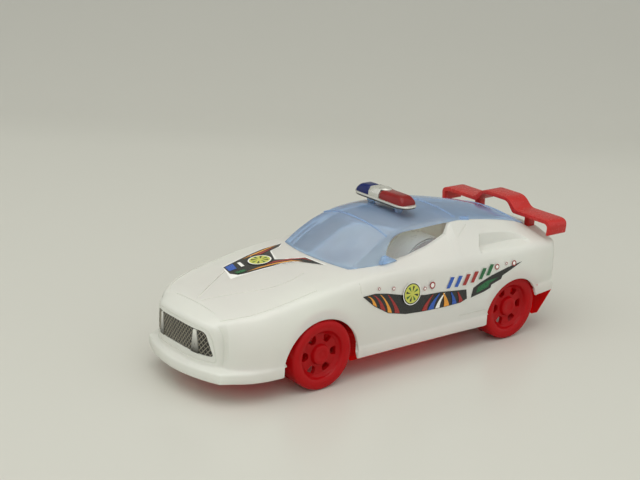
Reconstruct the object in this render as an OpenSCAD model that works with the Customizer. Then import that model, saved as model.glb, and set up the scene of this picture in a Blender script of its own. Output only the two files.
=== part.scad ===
// Toy police car: moulded shell, clear canopy, roof light bar, tail wing and a friction drive.
// X points forward, Y to the car's left and Z up. The floor is z = 0, the box centre is x = y = 0.

/* [Body] */
// length from the tail to the front lip
body_length = 256; // [250:1:262]
// width over the rear wheel arches
body_width = 98.4; // [97.6:0.1:100]
// height of the roof centre above the floor
roof_height = 81.6; // [80:0.2:84]
// height of the lower rim of the shell, where the pan meets it
sill_height = 13; // [12.6:0.1:13.4]
// wall thickness of the shell
wall = 1.8; // [1.6:0.1:2]
// how far the lower lip stands out at the nose
lip_reach = 3.5; // [2.5:0.1:4]
// radius of the front wheel arch
front_arch_radius = 25.5; // [25.2:0.1:26.5]
// radius of the rear wheel arch
rear_arch_radius = 21; // [20.6:0.1:22]

/* [Canopy] */
// wall thickness of the clear canopy
canopy_wall = 1.5; // [1.2:0.1:1.8]
// diameter of the two roof bosses under the light bar
roof_boss_diameter = 7; // [6:0.1:8]

/* [Running gear] */
// distance of the front axle ahead of the box centre, on the drawn length
front_axle_ahead = 60; // [59:0.1:61]
// distance of the rear axle behind the box centre, on the drawn length
rear_axle_behind = 84; // [83.4:0.1:84.6]
// diameter of all four wheels
wheel_diameter = 40; // [39.4:0.1:40.4]
// width of all four wheels
wheel_width = 16; // [15:0.1:16.6]
// distance of the wheel faces inside the widest part of the body
wheel_inset = 2.6; // [2.5:0.1:3.2]
// diameter of the flat dish floor inside the tyre
dish_diameter = 25; // [24:0.1:26]
// depth of the dish below the tyre face
dish_depth = 4; // [3:0.1:5]
// diameter of the raised hub cap
hub_diameter = 11.4; // [10:0.1:12]
// diameter of both axles
axle_diameter = 3; // [2.8:0.1:3.2]
// radial play of the axles in the pan
axle_play = 0.06; // [0.04:0.01:0.09]

/* [Pan] */
// thickness of the pan floor
pan_floor = 2; // [1.6:0.1:2.4]
// height of the tail rim of the pan
tail_rim_height = 25; // [24:0.1:26]
// gap between the wheels and the pan
pan_gap = 2.6; // [2:0.1:3.6]
// distance of the pan under the doors inside the widest part of the body
pan_inset = 6.2; // [5.6:0.1:7.2]
// shank diameter of the self-tapping screws
screw_diameter = 2.6; // [2.4:0.1:2.8]
// head diameter of the self-tapping screws
screw_head_diameter = 5.4; // [5:0.1:5.8]

/* [Tail wing] */
// overall width of the wing
wing_width = 96; // [92:0.2:97]
// chord of the wing, front to back
wing_chord = 15; // [13:0.1:15.6]
// sheet thickness of the wing
wing_sheet = 2.2; // [1.8:0.1:2.6]
// height of the side blades above the rear deck
blade_rise = 9.8; // [8.6:0.1:11]
// further rise of the middle arch
arch_rise = 6.4; // [5:0.1:7.6]
// distance of each leg from the middle plane
leg_y = 22; // [21:0.1:23]
// diameter of the leg pegs
leg_peg_diameter = 4; // [3.6:0.1:4.4]

/* [Light bar] */
// width of the bar across the roof
bar_width = 47; // [44:0.5:50]
// depth of the bar, front to back
bar_depth = 13.6; // [12.6:0.1:14.6]
// thickness of the base plate
bar_plate = 1.8; // [1.6:0.1:2.2]
// height of the lenses above the plate
lens_height = 5; // [4.4:0.1:6]
// width of the middle band between the lenses
band_width = 9; // [7:0.1:11]
// offset of the band from the middle towards the blue lens
band_shift = 4.6; // [0:0.1:6]
// height of the dome above the lenses
dome_rise = 1.4; // [1:0.1:2]
// distance of each peg from the middle plane
bar_peg_y = 12; // [11:0.1:13]
// diameter of the bar pegs
bar_peg_diameter = 3; // [2.6:0.1:3.4]

/* [Drive] */
// tooth module of all gears
tooth_module = 0.7; // [0.68:0.01:0.72]
// teeth of the gear on the rear axle
axle_teeth = 18;
// teeth of both pinions
pinion_teeth = 10;
// teeth of the large idler gear
idler_teeth = 20;
// free play between the tooth flanks
tooth_play = 0.2; // [0.16:0.01:0.26]
// half width of the gearbox over its side plates
gearbox_half = 10; // [9.8:0.1:10.4]
// thickness of the gearbox plates
gearbox_plate = 1.8; // [1.6:0.1:2]
// diameter of the flywheel
flywheel_diameter = 22; // [20:0.1:22.6]
// thickness of the flywheel
flywheel_width = 6; // [5:0.1:6.4]
// diameter of the idler pin and the flywheel shaft
pin_diameter = 2; // [1.8:0.1:2.2]
// radial play of the small shafts
pin_play = 0.05; // [0.03:0.01:0.08]

/* [Stickers] */
// thickness of the printed film
film = 0.3; // [0.2:0.05:0.4]
// depth of the recess that holds the grille print
grille_recess = 0.8; // [0.6:0.05:0.9]

/* [Hidden] */
// sizes at which the body lines below were drawn
drawn_length = 256;
drawn_width = 98.4;
drawn_roof = 81.6;
drawn_sill = 13;
along = body_length / drawn_length;
across = body_width / drawn_width;
upward = (roof_height - sill_height) / (drawn_roof - drawn_sill);
round_steps = 48;
small_gap = 0.2;
overlap = 0.5;
wheel_radius = wheel_diameter / 2;
wheel_face_y = body_width / 2 - wheel_inset;
front_axle_x = front_axle_ahead * along;
rear_axle_x = rear_axle_behind * along;
pan_waist = wheel_face_y - wheel_width - pan_gap;
pan_side = body_width / 2 - pan_inset;
pan_top = sill_height;
pan_bottom = pan_top - pan_floor;

// Smooth curves through [position, value] rows with rising positions.
function row_before(x, rows, i = 0) =
    (i >= len(rows) - 2 || x < rows[i + 1][0]) ? i : row_before(x, rows, i + 1);
function row_slope(rows, i) =
    let (a = max(i - 1, 0), b = min(i + 1, len(rows) - 1))
    (rows[b][1] - rows[a][1]) / (rows[b][0] - rows[a][0]);
function curve(x, rows) =
    let (
        i = row_before(x, rows),
        gap = rows[i + 1][0] - rows[i][0],
        u = min(max((x - rows[i][0]) / gap, 0), 1),
        rise = rows[i + 1][1] - rows[i][1],
        enter = row_slope(rows, i) * gap,
        leave = row_slope(rows, i + 1) * gap
    )
    rows[i][1] + u * (enter + u * (3 * rise - 2 * enter - leave + u * (enter + leave - 2 * rise)));
function mix(a, b, u) = a + (b - a) * u;

// Body lines along the drawn length: half widths (y) and heights (z).
function sill_y(x) = curve(x, [[-122, 45], [-105, 47.2], [-84, 47.8], [-64, 46.6], [-40, 45.8], [0, 45.5],
    [30, 45.5], [60, 45.6], [88, 45.2], [95, 44.2], [100, 42.8], [105, 40.6], [110, 37.2], [117, 29.5]]);
function lip_y(x) = x < 84 ? sill_y(x) + 0.4 : curve(x, [[84, 45.7], [95, 45.2], [100, 44.3], [105, 42.9],
    [111, 39.8], [115, 37], [117, 35]]);
function sill_z(x) = lookup(x, [[-106, drawn_sill + tail_rim_height - sill_height], [-62, drawn_sill]]);
function side_y(x) = curve(x, [[-122, 45.6], [-105, 48.4], [-84, 49.2], [-64, 48.2], [-40, 47.2], [0, 46.6],
    [30, 46.4], [60, 46.6], [88, 45.8], [95, 44.6], [100, 43.2], [105, 41], [110, 37.6], [117, 29.8]]);
function side_z(x) = curve(x, [[-122, 40], [-84, 39], [0, 33], [60, 36], [117, 31]]);
function shoulder_y(x) = curve(x, [[-122, 44.3], [-106, 46], [-89, 46.8], [-58, 46], [-24, 45], [8, 44.3],
    [40, 43.8], [60, 43.2], [80, 42], [93, 40.4], [100, 38.6], [107, 35], [113, 30.6], [117, 27.2]]);
function shoulder_z(x) = curve(x, [[-122, 56], [-106, 57.2], [-89, 56.8], [-58, 56.3], [-24, 56.2], [8, 57.6],
    [40, 56.6], [60, 54.2], [80, 51], [93, 48.8], [107, 45.8], [113, 43.8], [117, 41.8]]);
function belt_y(x) = curve(x, [[-128, 24.6], [-116, 24.4], [-107, 24.8], [-85, 27], [-64, 28.6], [-43, 30.6],
    [-38, 33], [-24, 34.6], [-10, 35.2], [8, 35], [20, 33.4], [30, 31], [40, 30], [60, 29], [80, 28],
    [107, 24], [117, 19]]);
function belt_z(x) = lookup(x, [[-128, 60], [-115.5, 60], [-113, 62.3], [-104, 65.6], [-92, 68.6],
    [-78, 71.4], [-64, 73.8], [-50, 75.5], [-43, 75.8], [-38, 69.4], [-24, 65.2], [-8, 61.9], [8, 60], [20, 59.8],
    [30, 59.2], [40, 58.4], [60, 56.3], [80, 53], [107, 47.6], [117, 43.6]]);
function crown_z(x) = x < hood_rear ? belt_z(x) : curve(x, [[25, 60.8], [40, 59.6], [60, 57.2], [80, 54],
    [107, 48.6], [117, 44.6]]);
function scoop(x) = curve(x, [[-100, 0], [-92, 2.2], [-66, 3], [-60, 0], [-40, 0]]);
hood_rear = 25;
lip_height = 5.2;
lip_slope = 1.2;
hood_round = 0.25;
side_round = 0.6;

// Half section from the rim up to the middle plane, as [y, z] on the drawn size.
function half_section(x) =
    let (
        low = sill_y(x), floor_z = sill_z(x), bulge = side_y(x), bulge_z = side_z(x),
        top = shoulder_y(x), top_z = shoulder_z(x), edge = belt_y(x), edge_z = belt_z(x),
        ledge_z = floor_z + lip_height
    )
    [[lip_y(x), floor_z], [lip_y(x), ledge_z], [low, ledge_z + lip_slope],
     [mix(low, bulge, 0.75), mix(ledge_z + lip_slope, bulge_z, 0.5)], [bulge, bulge_z],
     [mix(bulge, top, 0.5) + side_round, mix(bulge_z, top_z, 0.6)], [top, top_z],
     [mix(top, edge, 0.5) - scoop(x), mix(top_z, edge_z, 0.5)], [edge, edge_z],
     [edge / 2, mix(crown_z(x), edge_z, hood_round)], [0, crown_z(x)]];
function inner_section(s) =
    [for (i = [0:len(s) - 1])
        i < 3 ? [s[2][0] - wall, s[i][1]] : i < 6 ? [s[i][0] - wall, s[i][1]]
        : [max(s[i][0] - wall, 0), s[i][1] - wall]];
function raised(z) = sill_height + (z - drawn_sill) * upward;
function sized(p) = [p[0] * along, p[1] * across, raised(p[2])];
function both_sides(half) =
    concat(half, [for (i = [len(half) - 2:-1:0]) [half[i][0], -half[i][1], half[i][2]]]);

// Flat sections between the nose and the tail, and the rounded ends that close them.
stations = [113, 109, 104, 98, 91, 84, 73, 60, 50, 40, 30, 20, 8, -8, -24, -38, -43, -50, -64, -78, -92,
    -104, -113, -115.5, -119];
nose_x = 124.5;
tail_x = -128;
nose_bow = [0.003, 0.0000075];
lip_bow = [0.0068, 0];
tail_bow = [-0.0036, 0];
nose_station = 117;
tail_station = -122;
end_steps = [[1, 1], [0.87, 0.97], [0.74, 0.93], [0.56, 0.86], [0.34, 0.76], [0.12, 0.6]];
fixed_points = 3;

function bowed(bow, y) = bow[0] * y * y + bow[1] * pow(y, 4);
function end_row(s, x_face, x_lip, face_bow, edge_bow, step) =
    [for (i = [0:len(s) - 1])
        let (
            y = s[i][0] * step[0],
            z = i < fixed_points ? s[i][1] : mix(s[fixed_points - 1][1], s[i][1], step[1]),
            front = i < 2 ? x_lip - bowed(edge_bow, y) : x_face - bowed(face_bow, y)
        )
        [front, y, z]];
function flat_row(s, x) = [for (p = s) [x, p[0], p[1]]];
function shell_rows(inward) =
    let (
        nose = half_section(nose_station), tail = half_section(tail_station),
        cut = inward ? wall : 0,
        nose_s = inward ? inner_section(nose) : nose,
        tail_s = inward ? inner_section(tail) : tail,
        lip_front = inward ? nose_x - cut : nose_x + lip_reach,
        lip_curve = inward ? nose_bow : lip_bow
    )
    concat(
        [for (i = [len(end_steps) - 1:-1:0])
            end_row(nose_s, nose_x - cut, lip_front, nose_bow, lip_curve, end_steps[i])],
        [for (x = stations) flat_row(inward ? inner_section(half_section(x)) : half_section(x), x)],
        [for (step = end_steps) end_row(tail_s, tail_x + cut, tail_x + cut, tail_bow, tail_bow, step)]
    );
function full_rows(rows) = [for (r = rows) both_sides([for (p = r) sized(p)])];

// Faces of a sheet with two skins; zipped ends close the rows left to right.
function quad(a, b, c, d) = [[a, b, c], [a, c, d]];
function skin_faces(rows, cols, from, flip) =
    [for (s = [0:rows - 2]) for (j = [0:cols - 2])
        let (a = from + s * cols + j, b = a + 1, c = b + cols, d = a + cols)
        each (flip ? quad(d, c, b, a) : quad(a, b, c, d))];
function side_rims(rows, cols, size) =
    [for (s = [0:rows - 2])
        let (a = s * cols, d = a + cols, e = a + cols - 1, h = e + cols)
        each concat(quad(a, d, d + size, a + size), quad(h, e, e + size, h + size))];
function end_rims(rows, cols, size) =
    [for (j = [0:cols - 2])
        let (a = j, b = j + 1, c = (rows - 1) * cols + j, d = c + 1)
        each concat(quad(b, a, a + size, b + size), quad(c, d, d + size, c + size))];
function zip_faces(first, cols, flip) =
    let (half = (cols - 1) / 2)
    [for (i = [0:half - 1])
        let (l = first + i, m = l + 1, r = first + cols - 1 - i, q = r - 1)
        each (i == half - 1 ? [flip ? [r, l, m] : [l, r, m]] : flip ? quad(r, l, m, q) : quad(l, r, q, m))];
function zip_rims(rows, cols, size) =
    let (l = 0, r = cols - 1, m = (rows - 1) * cols, q = rows * cols - 1)
    concat(quad(r, l, l + size, r + size), quad(m, q, q + size, m + size));

module sheet(outer, inner, zipped) {
    rows = len(outer);
    cols = len(outer[0]);
    size = rows * cols;
    last = (rows - 1) * cols;
    ends = zipped
        ? concat(zip_faces(0, cols, false), zip_faces(last, cols, true),
            zip_faces(size, cols, true), zip_faces(size + last, cols, false), zip_rims(rows, cols, size))
        : end_rims(rows, cols, size);
    polyhedron(
        points = concat([for (r = outer) each r], [for (r = inner) each r]),
        faces = concat(skin_faces(rows, cols, 0, false), skin_faces(rows, cols, size, true),
            side_rims(rows, cols, size), ends),
        convexity = 10);
}

module upright(x, y, bottom, top, diameter) {
    translate([x, y, bottom])
        cylinder(h = top - bottom, d = diameter, $fn = round_steps);
}

module crosswise(x, z, from, to, diameter) {
    translate([x, from, z])
        rotate([-90, 0, 0])
            cylinder(h = to - from, d = diameter, $fn = round_steps);
}

module both(y) {
    for (side = [-1, 1])
        translate([0, side * y, 0])
            children();
}

// Screw posts: two under the hood, two beside the doors with a rib to the wall.
front_post = [98 * along, 18 * across];
door_post = [-46 * along, 37 * across];
post_diameter = 7;
post_foot = pan_top + 4;
door_post_top = raised(38);
rib = 1.6;
screw_length = 12;
screw_head_height = 2;
head_floor = pan_top + 1;
hood_bury = 0.9;
front_post_top = raised(mix(crown_z(98), belt_z(98), 0.55)) - hood_bury;
door_wall_y = (side_y(-46) - wall / 2) * across;

module posts() {
    both(front_post[1])
        upright(front_post[0], 0, post_foot, front_post_top, post_diameter);
    both(door_post[1])
        upright(door_post[0], 0, post_foot, door_post_top, post_diameter);
    for (side = [0, 1])
        mirror([0, side, 0])
            translate([door_post[0] - rib / 2, door_post[1], raised(24)])
                cube([rib, door_wall_y - door_post[1], door_post_top - raised(24)]);
}

module post_holes() {
    both(front_post[1])
        upright(front_post[0], 0, post_foot - overlap, post_foot + screw_length, screw_diameter);
    both(door_post[1])
        upright(door_post[0], 0, post_foot - overlap, post_foot + screw_length, screw_diameter);
}

// Opening under the canopy, a seat width inside the belt line.
seat_width = 2.4;
opening_stations = [20, 8, -8, -24, -38, -43, -50, -64, -78, -92, -104];
opening_front = 33.5;
opening_rear = -110;
module canopy_opening() {
    left = concat([[opening_front, 17], [28, 28.2]], [for (x = opening_stations) [x, belt_y(x) - seat_width]],
        [[opening_rear, 21.4]]);
    outline = concat(left, [for (i = [len(left) - 1:-1:0]) [left[i][0], -left[i][1]]]);
    translate([0, 0, raised(40)])
        linear_extrude(height = raised(90) - raised(40))
            polygon([for (p = outline) [p[0] * along, p[1] * across]]);
}

// Grille recess on the bowed nose face.
grille_low = 26;
grille_high = 39.6;
grille_droop = 1.1;
grille_low_half = 27;
grille_high_half = 22.6;
module grille_prism(margin) {
    translate([(nose_x - 10) * along, 0, 0])
        rotate([90, 0, 90])
            linear_extrude(height = 20)
                polygon([
                    [-(grille_low_half - margin) * across, raised(grille_low - grille_droop) + margin],
                    [0, raised(grille_low) + margin],
                    [(grille_low_half - margin) * across, raised(grille_low - grille_droop) + margin],
                    [(grille_high_half - margin) * across, raised(grille_high - grille_droop) - margin],
                    [0, raised(grille_high) - margin],
                    [-(grille_high_half - margin) * across, raised(grille_high - grille_droop) - margin]]);
}
drum_steps = 8;
drum_half = 32;
module nose_drum(inset) {
    front = [for (k = [-drum_steps:drum_steps])
        let (y = drum_half * k / drum_steps)
        [(nose_x - bowed(nose_bow, y)) * along - inset, y * across]];
    linear_extrude(height = raised(50))
        polygon(concat(front, [[60 * along, drum_half * across], [60 * along, -drum_half * across]]));
}

// Wing seat on the flat rear deck.
deck_z = raised(60);
leg_x = -120.5 * along;

module arch_cut(x, radius, z) {
    for (side = [0, 1])
        mirror([0, side, 0])
            crosswise(x, z, arch_from, body_width, 2 * radius);
}
arch_from = wheel_face_y - 4;
front_arch_z = wheel_radius - 4.5;
rear_arch_back = 0.6;
rear_arch_z = wheel_radius - 1.9;
wheel_room = 0.6;

// Hollow inside the rear arch that keeps the wall clear of the wheel.
module rear_wheel_room() {
    for (side = [0, 1])
        mirror([0, side, 0])
            crosswise(-rear_axle_x, wheel_radius, arch_from, wheel_face_y + wheel_room,
                2 * (wheel_radius + wheel_room));
}

// Wheel houses: an arched roof and an inner wall over each wheel.
house_wall = 1.6;
house_side = 1;
house_gap = 0.4;
house_bury = 0.2;
house_y = pan_waist + house_gap;
house_foot = tail_rim_height + 2;
front_house_radius = front_arch_radius - 1.5;
rear_house_radius = rear_arch_radius + 0.8;
module wheel_house(x, radius, end) {
    outer = radius + house_wall;
    intersection() {
        difference() {
            crosswise(x, wheel_radius, house_y, end, 2 * outer);
            crosswise(x, wheel_radius, house_y + house_side, end + overlap, 2 * radius);
        }
        translate([x - outer, 0, house_foot])
            cube([2 * outer, body_width, outer]);
    }
}
module wheel_houses() {
    for (side = [0, 1])
        mirror([0, side, 0]) {
            wheel_house(front_axle_x, front_house_radius, (side_y(60) - wall) * across);
            wheel_house(-rear_axle_x, rear_house_radius, (side_y(-84) - wall + house_bury) * across);
        }
}

// Clip notch in each rear pillar for a tab of the canopy.
clip_x = -57 * along;
clip_length = 7;
clip_depth = 2;
clip_z = raised(73.2);
module clip_tabs(grow) {
    for (side = [0, 1])
        mirror([0, side, 0])
            translate([clip_x - clip_length / 2 - grow, (belt_y(-57) - seat_width) * across - overlap, clip_z - grow])
                cube([clip_length + 2 * grow, clip_depth + grow, raised(76) - clip_z]);
}

module body_shell() {
    color("white")
        difference() {
            union() {
                sheet(full_rows(shell_rows(false)), full_rows(shell_rows(true)), true);
                posts();
                wheel_houses();
            }
            post_holes();
            canopy_opening();
            arch_cut(front_axle_x, front_arch_radius, front_arch_z);
            arch_cut(-rear_axle_x - rear_arch_back, rear_arch_radius, rear_arch_z);
            rear_wheel_room();
            difference() {
                grille_prism(0);
                nose_drum(grille_recess);
            }
            both(leg_y)
                upright(leg_x, 0, deck_z - 5, deck_z + overlap, leg_peg_diameter);
            clip_tabs(small_gap);
        }
}

module grille_sticker() {
    color("dimgray")
        intersection() {
            grille_prism(small_gap);
            difference() {
                nose_drum(grille_recess - film);
                nose_drum(grille_recess);
            }
        }
}

// Films that follow the outer skin of the shell.
first_station = len(end_steps);
film_gap = 0.06;
function lifted(rows, move) = [for (r = rows) [for (p = r) p + move]];
function skin_part(from, to, low, high) =
    let (rows = full_rows(shell_rows(false)))
    [for (s = [from:to]) [for (j = [low:high]) rows[s][j]]];
side_first = first_station + 9;
side_last = first_station + 20;
hood_first = first_station + 3;
hood_last = first_station + 9;

module side_outline() {
    polygon([for (p = [[34, 49.6], [22, 40.4], [6, 34.8], [-16, 33.6], [-42, 35.6], [-62, 40.2], [-88, 49.6],
        [-58, 47.6], [-28, 48.8], [-4, 52], [14, 53], [25, 51.8]]) [p[0] * along, raised(p[1])]]);
}

module side_film(skin, side) {
    intersection() {
        sheet(lifted(skin, [0, side * (film + film_gap), 0]), lifted(skin, [0, side * film_gap, 0]), false);
        translate([0, side > 0 ? body_width : 0, 0])
            rotate([90, 0, 0])
                linear_extrude(height = body_width)
                    side_outline();
    }
}

module left_side_sticker() {
    color("orange")
        side_film(skin_part(side_first, side_last, 2, 6), 1);
}

module right_side_sticker() {
    color("orange")
        side_film(skin_part(side_first, side_last, 14, 18), -1);
}

module hood_sticker() {
    skin = skin_part(hood_first, hood_last, 8, 12);
    color("gold")
        intersection() {
            sheet(lifted(skin, [0, 0, film + film_gap]), lifted(skin, [0, 0, film_gap]), false);
            linear_extrude(height = raised(80))
                polygon([for (p = [[85, -6.3], [76.3, -4.4], [66.6, -2.5], [56.3, -0.3], [45.6, 4.1], [37.6, 18],
                    [39, 0], [46.8, -3.6], [52.8, -9], [47, -22], [39, -24], [34, -28.5], [48, -29],
                    [59.4, -26.6], [69.4, -25], [78.5, -23.5]]) [p[0] * along, p[1] * across]]);
        }
}

// Canopy rows from the windscreen foot to the tail: middle, crease and edge points.
seat_stations = [-43, -50, -64, -78, -92, -104, -113];
seat_inset = 0.4;
seat_gap = 0.12;
foot_gap = 0.25;
function hood_z(x, y) =
    let (half = belt_y(x) / 2, bend = mix(crown_z(x), belt_z(x), hood_round))
    y < half ? mix(crown_z(x), bend, y / half) : mix(bend, belt_z(x), (y - half) / half);
function on_hood(x, y) = [x, y, hood_z(x, y) + foot_gap];
function on_belt(x) = [x, belt_y(x) - seat_inset, belt_z(x) + seat_gap];
function crease_z(x) = curve(x, [[-113, 63.4], [-104, 66.8], [-92, 69.9], [-78, 72.8], [-64, 75.2],
    [-50, 76.8], [-43, 77.2]]);
function ridge_z(x) = curve(x, [[-113, 65.4], [-104, 69], [-92, 72.3], [-78, 75.2], [-64, 77.6],
    [-50, 79.5], [-43, 80.2]]);
canopy_rows = concat(
    [[on_hood(36.5, 0), on_hood(31.4, 29.3), on_hood(30, 30.2)],
     [[27.5, 0, 66.6], [22.5, 30.2, 64.4], on_belt(20)],
     [[17, 0, 73.6], [13.5, 29.6, 69.4], on_belt(8)],
     [[12, 0, 76.6], [9, 29, 71.6], [6.5, 32.2, 66.4]],
     [[6, 0, 79.3], [3.5, 28.3, 73.8], [0.5, 29.8, 72.4]],
     [[-4, 0, 81], [-5, 27.4, 76], [-7, 28.8, 74.4]],
     [[-18, 0, drawn_roof], [-18.5, 26.9, 77.4], [-19, 28.5, 74.8]],
     [[-38, 0, 80.6], [-38, 26.8, 77.4], [-38, 28.6, 75.2]]],
    [for (x = seat_stations) [[x, 0, ridge_z(x)], [x, belt_y(x) - 2.4, crease_z(x)], on_belt(x)]]);
crown_steps = [0.75, 0.5, 0.25, 0];
function canopy_half(row) =
    let (middle = row[0], crease = row[1], edge = row[2])
    concat([edge, mix(edge, crease, 0.5), crease],
        [for (u = crown_steps) [mix(middle[0], crease[0], u * u), crease[1] * u,
            mix(middle[2], crease[2], pow(u, 2.2))]]);
function grid_normal(rows, s, j) =
    let (
        a = rows[max(s - 1, 0)][j], b = rows[min(s + 1, len(rows) - 1)][j],
        c = rows[s][max(j - 1, 0)], d = rows[s][min(j + 1, len(rows[0]) - 1)],
        n = cross(b - a, d - c)
    )
    n / norm(n);
function kept_above(p, z) = [p[0], p[1], max(p[2], z)];
function thickened(rows) =
    [for (s = [0:len(rows) - 1]) [for (j = [0:len(rows[0]) - 1])
        let (n = grid_normal(rows, s, j), p = rows[s][j], last = len(rows[0]) - 1)
        s == 0 ? p - [canopy_wall, 0, 0]
        : j == 0 || j == last ? p - [0, sign(p[1]) * canopy_wall, 0]
        : kept_above(p - n * canopy_wall, rows[s][0][2])]];

// Wedge at the foot of each front pillar.
wedge_y = 33.2;
wedge_width = 2.6;
module pillar_wedges() {
    for (side = [0, 1])
        mirror([0, side, 0])
            translate([0, (wedge_y + wedge_width) * across, 0])
                rotate([90, 0, 0])
                    linear_extrude(height = wedge_width * across)
                        polygon([for (p = [[12, 60.2], [11, 65.4], [6, 66.2], [3, 62.6], [4.6, 61]])
                            [p[0] * along, raised(p[1])]]);
}

// Light bar seat on the roof.
bar_x = -19 * along;
bar_seat_z = raised(85);
roof_bury = 0.8;
boss_foot_z = raised(mix(drawn_roof, 77.4, pow(bar_peg_y / 26.9, 2.2))) - roof_bury;
peg_depth = 4;

module canopy() {
    rows = full_rows([for (r = canopy_rows) canopy_half(r)]);
    color("lightblue")
        difference() {
            union() {
                sheet(rows, thickened(rows), false);
                both(bar_peg_y)
                    upright(bar_x, 0, boss_foot_z, bar_seat_z, roof_boss_diameter);
                clip_tabs(0);
                pillar_wedges();
            }
            both(bar_peg_y)
                upright(bar_x, 0, bar_seat_z - peg_depth, bar_seat_z + overlap, bar_peg_diameter);
        }
}

// Light bar: base plate with pegs, a long and a short lens, and a band with a dome in the middle of the bar.
plate_top = bar_seat_z + bar_plate;
bar_point = 5;
lens_end = bar_width / 2 - 2.4;
lens_foot = bar_depth - 2.4;
lens_crown = bar_depth - 6;
lens_shoulder = lens_height * 0.45;

module light_bar_base() {
    side = bar_width / 2;
    deep = bar_depth / 2;
    color("gainsboro")
        union() {
            translate([bar_x, 0, bar_seat_z])
                linear_extrude(height = bar_plate)
                    polygon([[deep, side - bar_point], [deep - bar_point + 1, side], [bar_point - deep - 1, side],
                        [-deep, side - bar_point], [-deep, bar_point - side], [bar_point - deep - 1, -side],
                        [deep - bar_point + 1, -side], [deep, bar_point - side]]);
            both(bar_peg_y)
                upright(bar_x, 0, bar_seat_z - peg_depth, bar_seat_z + overlap, bar_peg_diameter);
        }
}

module bar_profile(from, to, height) {
    translate([bar_x, to, plate_top])
        rotate([90, 0, 0])
            linear_extrude(height = to - from)
                polygon([[-lens_foot / 2, 0], [lens_foot / 2, 0], [lens_foot / 2, lens_shoulder],
                    [lens_crown / 2, height], [-lens_crown / 2, height], [-lens_foot / 2, lens_shoulder]]);
}

module lens(start) {
    intersection() {
        bar_profile(start, lens_end, lens_height);
        translate([bar_x - bar_depth, 0, plate_top])
            rotate([90, 0, 90])
                linear_extrude(height = 2 * bar_depth)
                    polygon([[-lens_end, 0], [lens_end, 0], [lens_end, lens_shoulder],
                        [lens_end - 3.4, lens_height], [-lens_end, lens_height]]);
    }
}

module light_bar_red_lens() {
    color("red")
        lens(band_width / 2 - band_shift);
}

module light_bar_blue_lens() {
    color("blue")
        mirror([0, 1, 0])
            lens(band_width / 2 + band_shift);
}

module light_bar_dome() {
    dome_diameter = min(band_width, lens_foot) - 0.6;
    color("silver")
        union() {
            bar_profile(-band_width / 2 - band_shift, band_width / 2 - band_shift, lens_height);
            translate([bar_x, 0, plate_top + lens_height])
                cylinder(h = dome_rise, d1 = dome_diameter, d2 = dome_diameter - 2 * dome_rise, $fn = round_steps);
        }
}

// Tail wing: a bent sheet with two legs and pegs.
wing_front = -110.8 * along;
blade_z = deck_z + blade_rise;
arch_z = blade_z + arch_rise;
tip_z = deck_z + 0.8;
arch_foot = leg_y - 5;
arch_top = arch_foot - 6.5;
leg_length = 6;
leg_width = 4;

module spoiler() {
    tip = wing_width / 2;
    left = [[tip - 0.6, tip_z], [tip, tip_z + 5], [tip - 1.2, blade_z - 3], [tip - 4.5, blade_z],
        [arch_foot + 1, blade_z], [arch_top + 1, arch_z]];
    under = [[arch_top, arch_z - wing_sheet], [arch_foot - 1, blade_z - wing_sheet],
        [tip - 5.2, blade_z - wing_sheet], [tip - 3.2, blade_z - 4.2], [tip - wing_sheet, tip_z + 4.4],
        [tip - wing_sheet - 0.6, tip_z]];
    color("red")
        union() {
            translate([wing_front, 0, 0])
                rotate([90, 0, -90])
                    linear_extrude(height = wing_chord)
                        polygon(concat(left, [for (i = [len(left) - 1:-1:0]) [-left[i][0], left[i][1]]],
                            [for (i = [len(under) - 1:-1:0]) [-under[i][0], under[i][1]]], under));
            both(leg_y)
                translate([leg_x - leg_length / 2, -leg_width / 2, deck_z])
                    cube([leg_length, leg_width, blade_rise - wing_sheet / 2]);
            both(leg_y)
                upright(leg_x, 0, deck_z - 5, deck_z + overlap, leg_peg_diameter);
        }
}

// Pan: floor, raised tail tray, axle posts, screw cups and drive pegs.
front_zone = [front_axle_x - 22.5, front_axle_x + 22.5];
rear_zone = [-rear_axle_x - 22, -rear_axle_x + 22];
bearing_inset = 5;
bearing_y = pan_waist - bearing_inset;
bearing_width = 5;
bearing_length = 9;
bearing_top = wheel_radius + 5;
cup_diameter = 9;
tray_half = 44.2 * across;
tray_end = -121.5 * along;
tray_step = rear_zone[0];
tray_wall = 2;
drive_pegs = [[-rear_axle_x - 9, 0], [-rear_axle_x + 20, 0]];
drive_peg_diameter = 3;
drive_peg_height = 1.4;

module pan_outline() {
    left = [[113 * along, 14], [107 * along, 27 * across], [100 * along, 35 * across],
        [front_zone[1], 39 * across], [front_zone[1], pan_waist], [front_zone[0], pan_waist],
        [front_zone[0], pan_side], [rear_zone[1], pan_side], [rear_zone[1], pan_waist],
        [tray_step - overlap, pan_waist]];
    polygon(concat(left, [for (i = [len(left) - 1:-1:0]) [left[i][0], -left[i][1]]]));
}

module tail_tray() {
    rise = tail_rim_height - pan_bottom;
    run = abs(tray_end - tray_step) - 4.5;
    inner_run = run * (rise - tray_wall) / rise;
    translate([0, tray_half, 0])
        rotate([90, 0, 0])
            difference() {
                linear_extrude(height = 2 * tray_half)
                    polygon([[tray_step, pan_bottom], [tray_step - 4.5, pan_bottom], [tray_end, tail_rim_height - 1],
                        [tray_end, tail_rim_height], [tray_step, tail_rim_height]]);
                translate([0, 0, tray_wall])
                    linear_extrude(height = 2 * (tray_half - tray_wall))
                        polygon([[tray_step + 1, pan_top], [tray_step - 3.6, pan_top],
                            [tray_step - 3.6 - inner_run, tail_rim_height], [tray_step - 3.6 - inner_run,
                            tail_rim_height + 1], [tray_step + 1, tail_rim_height + 1]]);
            }
}

module bearing(x) {
    both(bearing_y)
        translate([x - bearing_length / 2, -bearing_width / 2, pan_top - overlap])
            cube([bearing_length, bearing_width, bearing_top - pan_top + overlap]);
}

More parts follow.
